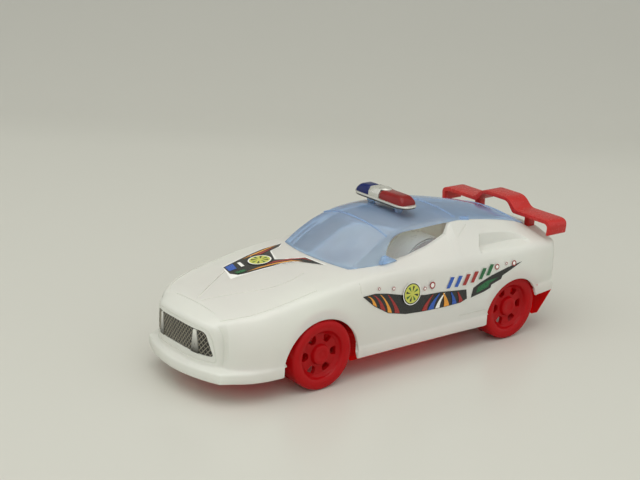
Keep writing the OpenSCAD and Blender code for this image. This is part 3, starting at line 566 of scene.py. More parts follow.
def bowed_sheet(name, outline, half, cuts, front, back):
    """Sheet with that outline in y and z; front(y) and back(y) give the x of its two faces."""
    bm = bmesh.new()
    bm.faces.new([bm.verts.new((0, y * MM, z * MM)) for y, z in outline])
    for k in range(1, cuts):
        cut(bm, (0, (-half + 2 * half * k / cuts) * MM, 0), (0, 1, 0))
    grown = bmesh.ops.extrude_face_region(bm, geom=bm.faces[:])
    moved = {v for v in grown["geom"] if isinstance(v, bmesh.types.BMVert)}
    for v in bm.verts:
        v.co.x = (back if v in moved else front)(v.co.y / MM) * MM
    bmesh.ops.recalc_face_normals(bm, faces=bm.faces)
    return from_bmesh(name, bm)


def decal(name, outline, place, grid=3.0):
    """Thin face with that 2-D outline, split into small faces and laid on a skin by place(u, v)."""
    bm = bmesh.new()
    bm.faces.new([bm.verts.new((u, v, 0)) for u, v in outline])
    for axis, normal in ((0, (1, 0, 0)), (1, (0, 1, 0))):
        low, high = min(p[axis] for p in outline), max(p[axis] for p in outline)
        count = int((high - low) / grid)
        for k in range(1, count + 1):
            cut(bm, Vector(normal) * (low + (high - low) * k / (count + 1)), normal)
    bmesh.ops.triangulate(bm, faces=bm.faces)
    for v in bm.verts:
        v.co = Vector(place(v.co.x, v.co.y)) * MM
    return from_bmesh(name, bm)


# Materials.

# Noise values between these two places run from the low to the high end of a range.
RAMP = (0.3, 0.7)


class Nodes:
    """Short way to build a node material."""

    def __init__(self, name):
        self.material = bpy.data.materials.new(name)
        self.material.use_nodes = True
        self.tree = self.material.node_tree
        self.tree.nodes.clear()
        self.output = self.add("ShaderNodeOutputMaterial")

    def add(self, kind, inputs=None, **settings):
        node = self.tree.nodes.new(kind)
        for key, value in settings.items():
            setattr(node, key, value)
        for key, value in (inputs or {}).items():
            if isinstance(value, bpy.types.NodeSocket):
                self.tree.links.new(value, node.inputs[key])
            else:
                node.inputs[key].default_value = value
        return node

    def place(self):
        return self.add("ShaderNodeTexCoord").outputs["Object"]

    def noise(self, scale, detail=3.0):
        inputs = {"Vector": self.place(), "Scale": scale, "Detail": detail}
        return self.add("ShaderNodeTexNoise", inputs).outputs["Fac"]

    def ramp(self, fac, low, high):
        node = self.add("ShaderNodeValToRGB", {"Fac": fac})
        for element, colour, position in zip(node.color_ramp.elements, (low, high), RAMP):
            element.color = (*colour[:3], 1)
            element.position = position
        return node.outputs["Color"]

    def remap(self, value, start, end, low, high):
        inputs = {"Value": value, "From Min": start, "From Max": end, "To Min": low, "To Max": high}
        return self.add("ShaderNodeMapRange", inputs).outputs["Result"]

    def level(self, fac, low, high):
        return self.remap(fac, *RAMP, low, high)

    def bump(self, fac, strength, distance):
        inputs = {"Height": fac, "Strength": strength, "Distance": distance}
        return self.add("ShaderNodeBump", inputs).outputs["Normal"]

    def surface(self, kind, inputs):
        return self.add(f"ShaderNodeBsdf{kind}", inputs).outputs[0]

    def blend(self, fac, first, second):
        return self.add("ShaderNodeMixShader", {0: fac, 1: first, 2: second}).outputs[0]

    def finish(self, socket):
        self.tree.links.new(socket, self.output.inputs["Surface"])
        return self.material


def shaded(colour, factor):
    return tuple(c * factor for c in colour[:3])


def plastic(name, colour, rough=0.2, vary=0.06, scale=60, bump=0.02, through=0.0, specular=0.5):
    """Moulded plastic: slight flow marks in colour, gloss and surface; thin walls let some light through."""
    n = Nodes(name)
    broad, fine = n.noise(scale), n.noise(scale * 8, 2.0)
    tone = n.ramp(broad, shaded(colour, 1 - vary), shaded(colour, 1 + vary * 0.4))
    solid = n.surface("Principled", {
        "Base Color": tone,
        "Roughness": n.level(fine, rough * 0.8, rough * 1.25),
        "Normal": n.bump(broad, bump, 0.0002),
        "Specular IOR Level": specular,
    })
    if not through:
        return n.finish(solid)
    return n.finish(n.blend(through, solid, n.surface("Translucent", {"Color": tone})))


def clear_plastic(name, tint, deep, haze, milky):
    """Thin clear tinted sheet, deeper when seen edge on, with a milky part that glows in light."""
    n = Nodes(name)
    facing = n.add("ShaderNodeLayerWeight", {"Blend": 0.3}).outputs["Facing"]
    flow = n.noise(45, 2.0)
    rough = n.level(n.noise(300, 2.0), 0.05, 0.1)
    clear = n.surface("Transparent", {"Color": n.ramp(facing, tint, deep)})
    cloud = n.ramp(facing, haze, tuple(h * math.sqrt(d) for h, d in zip(haze, deep)))
    milk = n.blend(0.5, n.surface("Diffuse", {"Color": cloud}), n.surface("Translucent", {"Color": cloud}))
    body = n.blend(n.level(flow, milky * 0.94, milky * 1.06), clear, milk)
    gloss = n.surface("Glossy", {"Color": (1, 1, 1, 1), "Roughness": rough})
    edge = n.add("ShaderNodeFresnel", {"IOR": 1.25}).outputs["Fac"]
    return n.finish(n.blend(edge, body, gloss))


def metal(name, colour, rough):
    n = Nodes(name)
    fine = n.noise(400, 2.0)
    return n.finish(n.surface("Principled", {
        "Base Color": n.ramp(fine, shaded(colour, 0.88), colour), "Metallic": 1.0,
        "Roughness": n.level(fine, rough * 0.8, rough * 1.3), "Normal": n.bump(fine, 0.08, 0.0001),
    }))


def silvered(name, colour):
    """Bright plated plastic: half mirror, half pale body."""
    n = Nodes(name)
    broad, fine = n.noise(90), n.noise(700, 2.0)
    return n.finish(n.surface("Principled", {
        "Base Color": n.ramp(broad, shaded(colour, 0.86), colour), "Metallic": 0.55,
        "Roughness": n.level(fine, 0.16, 0.28), "Normal": n.bump(broad, 0.04, 0.0002),
    }))


def ink(name, colour, vary=0.1):
    """Printed ink on glossy film, with fine print grain."""
    return plastic(name, colour, rough=0.3, vary=vary, scale=220)


def paint(obj, *materials):
    """Sets the materials; clearing would also reset the faces' marks, so an empty list isn't cleared."""
    if obj.data.materials:
        obj.data.materials.clear()
    for material in materials:
        obj.data.materials.append(material)


def mark(obj, test):
    """Gives the second material to the faces that pass a test."""
    for face in obj.data.polygons:
        face.material_index = 1 if test(face) else 0


def outwardness(face, core_z):
    """Above zero where a face turns away from the line along the car at that height."""
    return face.normal.y * face.center.y + face.normal.z * (face.center.z - core_z * MM)


# Settings.


def colour_setting(name, description, red, green, blue):
    return FloatVectorProperty(name=name, description=description, default=srgb(red, green, blue), size=3,
                               min=0, max=1, subtype="COLOR")


def length_setting(name, description, default, low, high):
    return FloatProperty(name=name, description=description, default=default, min=low, max=high,
                         unit="LENGTH")


def number_setting(name, description, default, low, high):
    return FloatProperty(name=name, description=description, default=default, min=low, max=high)


class BodySettings(bpy.types.PropertyGroup):
    """Sizes and colours of the white shell."""

    wall: length_setting("Wall", "Wall thickness of the shell", 0.0018, 0.001, 0.003)
    groove: length_setting("Groove", "Radius of the panel lines", 0.0004, 0.0001, 0.001)
    colour: colour_setting("White", "Colour of the shell", 242, 244, 237)
    # The inner white is the shell's own plastic painted lighter than the outer white: painted light that
    # brightens the shaded cabin.
    inside: colour_setting("Inner white", "Colour of the inner faces", 251, 252, 247)


class CanopySettings(bpy.types.PropertyGroup):
    """Sizes and colours of the clear canopy."""

    wall: length_setting("Wall", "Sheet thickness of the canopy", 0.0015, 0.0008, 0.002)
    tint: colour_setting("Tint", "Tint seen straight on", 224, 240, 255)
    deep: colour_setting("Deep tint", "Tint seen edge on", 140, 190, 246)
    haze: colour_setting("Haze", "Milky part of the plastic", 206, 230, 255)
    milky: number_setting("Milky share", "Share of the light that the sheet scatters", 0.56, 0, 1)


class RedSettings(bpy.types.PropertyGroup):
    """Colours of the red pan, wheels and wing, the wheel openings and the wing's edge."""

    wheel: colour_setting("Wheel red", "Colour of the wheels", 206, 22, 28)
    pan: colour_setting("Pan red", "Colour of the pan", 238, 36, 36)
    wing: colour_setting("Wing red", "Colour of the tail wing", 206, 46, 42)
    windows: IntProperty(name="Wheel openings", description="Number of openings round a wheel", default=6,
                         min=3, max=8)
    wing_edge: length_setting("Wing edge", "Edge round of the wing", 0.0006, 0.0001, 0.001)


class BarSettings(bpy.types.PropertyGroup):
    """Sizes and colours of the roof light bar."""

    edge: length_setting("Edge", "Edge round of the lenses", 0.0017, 0.0002, 0.002)
    shift: length_setting("Band shift", "Offset of the band towards the blue lens", 0.0046, 0, 0.006)
    red: colour_setting("Red lens", "Colour of the left lens", 126, 20, 20)
    blue: colour_setting("Blue lens", "Colour of the right lens", 12, 28, 86)
    pale: colour_setting("Pale base", "Colour of the base and dome", 205, 205, 196)


class FilmSettings(bpy.types.PropertyGroup):
    """Lift and colours of the printed films."""

    lift: length_setting("Lift", "Height of the film above the shell", 0.00018, 0.00005, 0.0005)
    black: colour_setting("Black", "Dark print", 30, 30, 28)
    red: colour_setting("Red", "Red print", 150, 38, 34)
    orange: colour_setting("Orange", "Orange print", 222, 150, 52)
    blue: colour_setting("Blue", "Blue print", 38, 84, 170)
    green: colour_setting("Green", "Green print", 24, 96, 52)
    lime: colour_setting("Lime", "Yellow green print", 196, 198, 84)


class StageSettings(bpy.types.PropertyGroup):
    """Camera, floor and lights, and the painted shade that darkens the backdrop far behind the car."""

    lens: number_setting("Lens", "Focal length in millimetres on a 36 mm sensor", 77.45, 20, 200)
    floor: colour_setting("Floor", "Colour of the floor and backdrop", 201, 201, 192)
    # fade and the two settings after it paint shade into the backdrop: its colour darkens far behind the car.
    fade: number_setting("Backdrop shade", "Share of the floor colour left far behind", 0.75, 0.5, 1)
    painted_shade_start: length_setting("Shade start", "Distance behind the car where the shade starts", 0.45, 0, 1)
    painted_shade_end: length_setting("Shade end", "Distance behind the car where the shade is full", 0.85, 0.2, 2)
    key: number_setting("Key light", "Power of the large overhead light in watts", 5.4, 0, 100)
    fill: number_setting("Fill", "Strength of the even surrounding light", 0.92, 0, 2)


GROUPS = {
    "toy_body": BodySettings,
    "toy_canopy": CanopySettings,
    "toy_red": RedSettings,
    "toy_bar": BarSettings,
    "toy_film": FilmSettings,
    "toy_stage": StageSettings,
}


# Grille recess on the nose: half widths and corner heights of its lower and upper edge, and their rise
# in the middle.
GRILLE_LOW, GRILLE_HIGH = 27, 22.6
GRILLE_FOOT, GRILLE_TOP = 24.9, 38.5
GRILLE_ARCH = 1.1


def grille_outline(margin):
    """Outline of the grille recess, as y and z, drawn in by a margin."""
    low, high = GRILLE_LOW - margin, GRILLE_HIGH - margin
    foot, top = GRILLE_FOOT + margin, GRILLE_TOP - margin
    points = [(-low, foot), (0, foot + GRILLE_ARCH), (low, foot),
              (high, top), (0, top + GRILLE_ARCH), (-high, top)]
    return round_outline(points, [2.2, 8, 2.2, 3, 8, 3])


def nose_face(y, inset):
    return NOSE_X - bowed(NOSE_BOW, y) - inset


# Width of the seat between the cabin opening and the belt line.
SEAT = 2.4
# Wheel houses: radius and outer end at each axle, inner wall, sheet and height of the foot above the axle.
HOUSES = {"front": (24, 44.6), "rear": (21.8, 47.4)}
HOUSE_WALL = (28.4, 29.4)
HOUSE_SHEET = 1.6
HOUSE_FOOT = 7
# Inner faces turn towards a line at this height, and in the shell they end this far from the middle.
SHELL_CORE_Z = 35
CANOPY_CORE_Z = 40
INNER_REACH = 110


class TOYCAR_OT_shell(bpy.types.Operator):
    """Build the white shell with its arches, panel lines, grille recess and wheel houses"""

    bl_idname = "toycar.shell"
    bl_label = "White shell"

    def execute(self, context):
        settings = context.scene.toy_body
        shell = self.skin(settings.wall / MM)
        combine(shell, self.opening())
        combine(shell, self.recess())
        combine(shell, join("grooves", self.grooves(settings.groove / MM)))
        houses = self.houses()
        even = {"vary": 0.015, "scale": 25}
        white = plastic("white_moulded", settings.colour, rough=0.17, bump=0.006, through=0.38, **even)
        # Inner faces: the same white plastic, painted lighter than the outer faces as painted light in the
        # shaded cabin.
        inside = plastic("white_inner_face", settings.inside, rough=0.3, bump=0.01, through=0.78, **even)
        paint(shell, white, inside)
        mark(shell, self.is_inner)
        red = plastic("house_red", context.scene.toy_red.pan, rough=0.35, through=0.6, specular=0.2)
        # The wheel houses' white faces take the same lighter inner white, which is painted light.
        paint(houses, plastic("house_white", settings.inside, rough=0.3, bump=0.01, **even), red)
        mark(houses, self.faces_wheel)
        for obj in (shell, houses):
            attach(obj, "car_body")
        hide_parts("body_shell")
        return {"FINISHED"}

    def is_inner(self, face):
        return outwardness(face, SHELL_CORE_Z) < 0 and abs(face.center.x) < INNER_REACH * MM

    def faces_wheel(self, face):
        """Whether a face of the wheel houses is turned to the axle or to the outside."""
        axle = min(AXLES.values(), key=lambda x: abs(face.center.x / MM - x))
        inner = (face.normal.x * (axle * MM - face.center.x)
                 + face.normal.z * (WHEEL_RADIUS * MM - face.center.z))
        to_axle = inner > 0.001 and abs(face.normal.y) < 0.3
        return to_axle or face.normal.y * face.center.y > 0.01

    def skin(self, wall):
        """Outer and inner skins with a round along the lower rim; each half row is mirrored."""
        outer = shell_half_rows()
        last = len(outer[0]) - 1
        loops = []
        for s, row in enumerate(outer):
            inner = []
            for j, p in enumerate(row):
                n = grid_normal(outer, s, j, Vector((0, -1, 0)) if j == last else None)
                inner.append(p - (n.normalized() if n.length > 1e-9 else Vector((0, 0, 1))) * wall)
            half = inner[::-1] + self.rim(inner[0], row[0], row[1]) + row
            half[0].y = half[-1].y = 0
            loops.append(half + [Vector((p.x, -p.y, p.z)) for p in half[-2:0:-1]])
        size = len(loops[0])
        faces = lofted(len(loops), size)
        for start in (0, (len(loops) - 1) * size):
            for j in range(size // 2):
                faces.append([start + k % size for k in (j, j + 1, size - j - 1, size - j)])
        return from_points("shell", [p for loop in loops for p in loop], faces, weld=1e-7)

    def rim(self, start, end, inside, steps=5):
        """Points of the half round between two skins, bulging away from the sheet."""
        middle = (start + end) / 2
        across = start - end
        away = (middle - inside) - across * ((middle - inside).dot(across) / max(across.length_squared, 1e-9))
        away = away.normalized() if away.length > TINY else Vector((0, 0, -1))
        bulge = across.length / 2 * 0.6
        angles = [math.pi * k / steps for k in range(1, steps)]
        return [middle + (start - middle) * math.cos(a) + away * (bulge * math.sin(a)) for a in angles]

    def opening(self):
        """Prism that opens the cabin under the canopy, a seat's width inside the belt line."""
        places = (20, 8, -8, -24, -38, -43, -50, -64, -78, -92, -104)
        left = [(33.5, 17), (28, 28.2), *((x, curve(x, BELT_Y) - SEAT) for x in places), (-110, 21.4)]
        outline = round_outline(left + [(x, -y) for x, y in reversed(left)], 1.5, 3)
        return prism("opening", outline, flat, (40, 90))

    def recess(self):
        """Cutter in front of the grille floor, bowed like the nose."""
        return bowed_sheet("recess", grille_outline(0), GRILLE_LOW, 24,
                           lambda y: nose_face(y, 0.8), lambda y: 140)

    def grooves(self, radius):
        """Fine panel lines on the hood, the nose, the pillars and the sides."""
        crease = [(110, 2), (101, 7), (91.9, 12), (84, 16.4), (77.4, 19.3), (71, 20.3), (64.7, 20.3),
                  (58, 19.2), (53, 17.5)]
        ridge = [(114, 25.5), (108, 31), (102, 34.6), (93, 37), (84, 37.9), (76, 38.3), (68, 38.4),
                 (60, 38.2)]
        surround = [(0, 41.3), (14, 40.8), (21, 40.2), (24, 39), (26.4, 34), (28.2, 23.6), (27.4, 22),
                    (18, 22.2), (0, 22.6)]
        pillar = [(-45.4, 68.2), (-50, 70.4), (-55.5, 72.6)]
        cowl = 112.4
        parts = []
        for side in (1, -1):
            lines = []
            for path in (crease, ridge):
                lines.append(([(x, side * y, top_skin(x, y)) for x, y in dense(path, 5)], radius))
            lines.append(([(nose_face(y, 0), side * y, z) for y, z in dense(surround, 5)], radius))
            lines.append(([(x, side * side_top(x, z), z) for x, z in dense(pillar, 4)], radius))
            for path in ([(34.5, 50.5), (34.8, 56)], [(-40.5, 23.2), (-62, 23.4)]):
                lines.append(([(x, side * side_skin(x, z), z) for x, z in dense(path, 10)], radius * 0.8))
            parts += [tube("line", path, thick) for path, thick in lines]
        parts.append(tube("line", [(cowl, y, top_skin(cowl, y)) for y in range(-19, 20, 2)], radius))
        return parts

    def houses(self, steps=40):
        """Half-round roofs and inner walls over the wheels."""
        parts = []
        for name, (radius, end) in HOUSES.items():
            x = AXLES[name]
            low = math.asin(HOUSE_FOOT / radius)
            angles = [mix(low, math.pi - low, k / steps) for k in range(steps + 1)]
            roof = radius + HOUSE_SHEET
            section = ((radius, end), (radius, HOUSE_WALL[1]), (roof, HOUSE_WALL[0]), (roof, end))
            caps = [[0, 1, 2, 3], [steps * 4 + i for i in (3, 2, 1, 0)]]
            wall = [(x + radius * math.cos(a), WHEEL_RADIUS + radius * math.sin(a)) for a in angles]
            for side in (1, -1):
                points = []
                for a in angles:
                    c, s = math.cos(a), math.sin(a)
                    points += [(x + r * c, side * y, WHEEL_RADIUS + r * s) for r, y in section]
                parts.append(from_points("house", points, lofted(steps + 1, 4) + caps))
                parts.append(prism("house_wall", wall, upright, [side * y for y in HOUSE_WALL]))
        return join("wheel_houses", parts)


# Gaps of the canopy above the hood and the belt line, and the inset of its edge from the belt line.
HOOD_GAP, BELT_GAP, BELT_INSET = 0.15, 0.05, 0.4


def on_hood(x, y):
    half = curve(x, BELT_Y) / 2
    crown, edge = crown_z(x), lookup(x, BELT_Z)
    middle = mix(crown, edge, HOOD_ROUND)
    z = mix(crown, middle, y / half) if y < half else mix(middle, edge, (y - half) / half)
    return (x, y, z + HOOD_GAP)


def on_belt(x):
    return (x, curve(x, BELT_Y) - BELT_INSET, lookup(x, BELT_Z) + BELT_GAP)


CREASE_Z = [(-113, 63.4), (-104, 66.8), (-92, 69.9), (-78, 72.8), (-64, 75.2), (-50, 76.8), (-43, 77.2)]
RIDGE_Z = [(-113, 65.4), (-104, 69), (-92, 72.3), (-78, 75.2), (-64, 77.6), (-50, 79.5), (-43, 80.2)]
ROOF_POWER = 2.2


def canopy_rows():
    """Middle, crease and edge points of the canopy from the windscreen foot to the tail."""
    rows = [
        (on_hood(36.5, 0), on_hood(31.4, 29.3), on_hood(30, 30.2)),
        ((27.5, 0, 66.6), (22.5, 30.2, 64.4), on_belt(20)),
        ((17, 0, 73.6), (13.5, 29.6, 69.4), on_belt(8)),
        ((12, 0, 76.6), (9, 29, 71.6), (6.5, 32.2, 66.4)),
        ((6, 0, 79.3), (3.5, 28.3, 73.8), (0.5, 29.8, 72.4)),
        ((-4, 0, 81), (-5, 27.4, 76), (-7, 28.8, 74.4)),
        ((-18, 0, 81.6), (-18.5, 26.9, 77.4), (-19, 28.5, 74.8)),
        ((-38, 0, 80.6), (-38, 26.8, 77.4), (-38, 28.6, 75.2)),
    ]
    for x in (-43, -50, -64, -78, -92, -104, -113):
        rows.append(((x, 0, curve(x, RIDGE_Z)), (x, curve(x, BELT_Y) - SEAT, curve(x, CREASE_Z)), on_belt(x)))
    return [[Vector(p) for p in row] for row in rows]


def roof_point(middle, crease, u):
    """Point of the roof at share u of the way from its middle line to its crease."""
    return Vector((mix(middle.x, crease.x, u * u), crease.y * u, mix(middle.z, crease.z, u**ROOF_POWER)))


def smooth_line(points, steps):
    """Smooth line through points, with that many steps between neighbours."""
    out = []
    last = len(points) - 1
    for i in range(last):
        a, b, c, d = points[max(i - 1, 0)], points[i], points[i + 1], points[min(i + 2, last)]
        gap = max((c - b).length, TINY)
        enter = (c - a) * (gap / max((c - b).length + (b - a).length, TINY))
        leave = (d - b) * (gap / max((d - c).length + (c - b).length, TINY))
        for k in range(steps):
            u = k / steps
            ahead = 3 * u**2 - 2 * u**3
            out.append(b * (1 - ahead) + enter * (u**3 - 2 * u**2 + u) + c * ahead + leave * (u**3 - u**2))
    return out + [points[-1]]


# Roof bosses: half their distance, radius, foot and top, and the height below which they are half as wide.
BOSS_Y, BOSS_RADIUS, BOSS_Z, BOSS_NECK = 12, 3.5, (80.2, 84.9), 82
WEDGE_Y = (33.2, 35.8)
TAB_X = -57


class TOYCAR_OT_canopy(bpy.types.Operator):
    """Build the clear canopy with its roof bosses, clip tabs and pillar wedges"""

    bl_idname = "toycar.canopy"
    bl_label = "Clear canopy"

    def execute(self, context):
        settings = context.scene.toy_canopy
        canopy = self.sheet(settings.wall / MM)
        extras = join("canopy_fittings", self.fittings() + self.ribs())
        clear = clear_plastic("clear_blue_sheet", settings.tint, settings.deep, settings.haze, settings.milky)
        thick = clear_plastic("clear_blue_block", settings.tint, settings.deep, settings.haze, 0.5)
        paint(canopy, clear, clear_plastic("clear_inner_face", (1, 1, 1), settings.tint, settings.haze, 0))
        mark(canopy, lambda face: outwardness(face, CANOPY_CORE_Z) <= 0)
        paint(extras, thick)
        for obj in (canopy, extras):
            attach(obj, "car_body")
        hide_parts("canopy")
        return {"FINISHED"}

    def sheet(self, wall):
        """Outer and inner faces of the sheet, closed along its edges."""
        lines = [smooth_line([row[k] for row in canopy_rows()], 6) for k in range(3)]
        outer = []
        for middle, crease, edge in zip(*lines):
            half = [edge.lerp(crease, k / 4) for k in range(5)]
            half += [roof_point(middle, crease, 1 - k / 16) for k in range(1, 17)]
            outer.append(half + [Vector((p.x, -p.y, p.z)) for p in reversed(half[:-1])])
        rows, cols = len(outer), len(outer[0])
        inner = []
        for s, row in enumerate(outer):
            for j, p in enumerate(row):
                n = grid_normal(outer, s, j).normalized()
                n = n if n.z > 0 or abs(n.y) > 0.7 else -n
                if s == 0:
                    q = p - Vector((wall, 0, 0))
                elif j in (0, cols - 1):
                    q = p - Vector((0, math.copysign(wall, p.y), 0))
                else:
                    q = p - n * wall
                    q.z = max(q.z, row[0].z)
                inner.append(q)
        size = rows * cols
        faces = []
        for s in range(rows - 1):
            for a in range(s * cols, (s + 1) * cols - 1):
                faces.append([a, a + 1, a + cols + 1, a + cols])
                faces.append([size + a + cols, size + a + cols + 1, size + a + 1, size + a])
            for a in (s * cols, (s + 1) * cols - 1):
                faces.append([a, a + cols, size + a + cols, size + a])
        for s in (0, rows - 1):
            for a in range(s * cols, (s + 1) * cols - 1):
                faces.append([a, a + 1, size + a + 1, size + a])
        return from_points("canopy_sheet", [p for row in outer for p in row] + inner, faces, angle=40)

    def ribs(self):
        """Low moulded ribs across the screen top and the rear window."""
        parts = []
        rows = canopy_rows()
        for place, radius in ((4, 0.45), (9, 0.4), (13, 0.4)):
            middle, crease, _ = rows[place]
            path = []
            for k in range(-20, 21):
                p = roof_point(middle, crease, abs(k) / 20)
                path.append((p.x, math.copysign(p.y, k), p.z + 0.05))
            parts.append(tube("rib", path, radius))
        return parts

    def fittings(self):
        """Roof bosses under the light bar, wedges at the pillar feet and clip tabs at the rear pillars."""
        wedge = [(13, 60.4), (11, 64.4), (8, 64.8), (4.4, 63), (0.6, 61.2), (3, 60.6)]
        tab = [(-60.5, 73.2), (-53.5, 73.2), (-53.5, 76.2), (-60.5, 76.2)]
        tab_y = curve(TAB_X, BELT_Y) - SEAT
        parts = []
        for side in (1, -1):
            x, y = BAR_X, side * BOSS_Y

            def tapered(u, v, w):
                wide = 0.5 if w < BOSS_NECK else 1
                return (mix(x, u, wide), mix(y, v, wide), w)

            parts.append(prism("boss", ring((x, y), BOSS_RADIUS, 32), tapered, BOSS_Z))
            parts.append(soften(prism("wedge", wedge, upright, [side * w for w in WEDGE_Y]), 0.5, 2))
            depth = (side * (tab_y - 0.5), side * (tab_y + 2.1))
            parts.append(soften(prism("tab", tab, upright, depth), 0.4, 2))
        return parts


# Wing: leading and trailing edge, foot and top of its legs and half their distance.
WING_X = (-110.8, -125.8)
LEG_Z = (59.9, 68.6)
LEG_Y = 22


class TOYCAR_OT_wing(bpy.types.Operator):
    """Build the bent red tail wing with its legs"""

    bl_idname = "toycar.wing"
    bl_label = "Tail wing"

    def execute(self, context):
        settings = context.scene.toy_red
        tip, tip_z, blade, arch = 48, 60.8, 69.8, 76.2
        sheet = 2.2
        over = [(tip - 1, tip_z), (tip - 0.2, blade), (18, blade), (11.5, arch)]
        under = [(10.5, arch - sheet), (16, blade - sheet), (tip - sheet - 0.2, blade - sheet),
                 (tip - sheet - 1.1, tip_z)]
        over_sizes, under_sizes = [1, 5.6, 3, 4.6], [2.6, 1.6, 3.4, 0.8]
        outline = over + [(-y, z) for y, z in over[::-1] + under[::-1]] + under
        sizes = over_sizes + over_sizes[::-1] + under_sizes[::-1] + under_sizes
        wing = prism("wing", round_outline(outline, sizes, 6), lambda u, v, w: (w, u, v), WING_X)
        for y in (LEG_Y, -LEG_Y):
            corners = [(-123.5, y - 2), (-117.5, y - 2), (-117.5, y + 2), (-123.5, y + 2)]
            combine(wing, prism("leg", round_outline(corners, 1, 4), flat, LEG_Z), "UNION")
        soften(wing, settings.wing_edge / MM, 3, 40)
        paint(wing, plastic("wing_red", settings.wing, rough=0.24, vary=0.05, scale=50, through=0.3))
        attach(wing, "car_body")
        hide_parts("spoiler")
        return {"FINISHED"}


# Light bar: its middle along the car, the underside, step and top of its plate, and half the band's width.
BAR_X = -19
PLATE_Z = (85, 85.6, 86.8)
BAND_HALF = 4.5
LENS_END = 21.1
DOME_RADIUS, DOME_FOOT, DOME_RISE = 3.9, 91.7, 1.45


def bar_section(half, top, shoulder, height):
    """Section across the light bar above its plate, as x and z."""
    points = [(-half, 0), (half, 0), (half, shoulder), (top, height), (-top, height), (-half, shoulder)]
    return [(BAR_X + x, PLATE_Z[2] + z) for x, z in points]


def on_plate(p):
    return p.z < PLATE_Z[2] + 0.1


class TOYCAR_OT_light_bar(bpy.types.Operator):
    """Build the roof light bar: base plate, two lenses and the domed band"""

    bl_idname = "toycar.light_bar"
    bl_label = "Light bar"

    def execute(self, context):
        settings = context.scene.toy_bar
        edge, shift = settings.edge / MM, settings.shift / MM
        pale = silvered("pale_silver", settings.pale)
        dark = plastic("bar_shadow_line", srgb(52, 50, 46), rough=0.4, vary=0.1, scale=200)
        plate = self.plate()
        paint(plate, pale, dark)
        mark(plate, lambda face: face.center.z < (PLATE_Z[1] - 0.05) * MM)
        red, blue = self.lens(1, BAND_HALF - shift, edge), self.lens(-1, BAND_HALF + shift, edge)
        paint(red, plastic("red_lens", settings.red, rough=0.16, vary=0.12, scale=160, specular=0.3))
        paint(blue, plastic("blue_lens", settings.blue, rough=0.16, vary=0.12, scale=160, specular=0.3))
        band = self.band(shift)
        paint(band, pale)
        for obj, node, slot in (
            (plate, "light_bar_base", "pale_plastic"), (red, "light_bar_red_lens", "red_lens"),
            (blue, "light_bar_blue_lens", "blue_lens"), (band, "light_bar_dome", "pale_plastic"),
        ):
            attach(obj, "car_body")
            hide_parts(node)
        return {"FINISHED"}

    def plate(self):
        """Plate with bevelled corners on a slightly smaller foot."""
        outline = [(-12.2, 18.5), (-15.2, 23.5), (-22.8, 23.5), (-25.8, 18.5), (-25.8, -18.5), (-22.8, -23.5),
                   (-15.2, -23.5), (-12.2, -18.5)]
        foot = round_outline([(x * 0.97 - 0.57, y * 0.975) for x, y in outline], 2, 4)
        low = prism("plate_low", foot, flat, PLATE_Z[:2])
        high = prism("plate", round_outline(outline, 2.2, 4), flat, PLATE_Z[1:])
        soften(high, 0.4, 3)
        return join("light_bar_plate", [low, high])

    def lens(self, side, start, edge):
        body = prism("lens", bar_section(5.6, 3.8, 2.25, 5), upright, (side * start, side * LENS_END))
        end = [(-5, 86), (LENS_END, 86), (LENS_END, 89.05), (17.7, 91.8), (-5, 91.8)]
        combine(body, prism("ends", end, lambda u, v, w: (w, side * u, v), (-30, -8)), "INTERSECT")
        return soften(body, edge, 4, 20, on_plate)

    def band(self, shift):
        """Band between the lenses with a low dome in the middle of the car."""
        section = bar_section(5.75, 3.9, 2.4, 5.15)
        body = prism("band", section, upright, (-BAND_HALF - shift, BAND_HALF - shift))
        soften(body, 0.5, 3, 20, on_plate)
        rings, steps, points = 8, 32, []
        for i in range(rings + 1):
            a = math.pi / 2 * i / rings
            z = DOME_FOOT + DOME_RISE * math.sin(a)
            points += [(x, y, z) for x, y in ring((BAR_X, 0), DOME_RADIUS * math.cos(a), steps)]
        dome = from_points("dome", points, lofted(rings + 1, steps) + [list(range(steps))[::-1]])
        return join("light_bar_band", [body, dome])


# Wheel section: radius and depth behind the outer face.
WHEEL_SECTION = [
    (1.56, 16), (3.7, 16), (3.7, 6.6), (6.2, 6.6), (17.2, 6.4), (17.4, 7), (17.4, 16), (19, 16), (19.6, 15.8),
    (20, 15.1), (20, 2.6), (19.85, 1.5), (19.4, 0.7), (18.6, 0.2), (17.6, 0), (15.4, 0.1), (14.4, 0.45),
    (13.7, 1.1), (13.4, 2), (13.1, 2.6), (12.4, 3.1), (11.7, 3.9), (11.2, 4), (6.6, 4), (6, 3.8), (5.7, 3.3),
    (5.6, 2.2), (5.3, 1.75), (4.6, 1.5), (3.2, 1.45), (2.7, 1.7), (1.2, 1.75), (0.001, 1.75), (0.001, 4.4),
    (1.56, 4.4), (1.56, 16),
]
WHEEL_WINDOW = [(7.4, -1.7), (11.4, -3), (11.4, 3), (7.4, 1.7)]


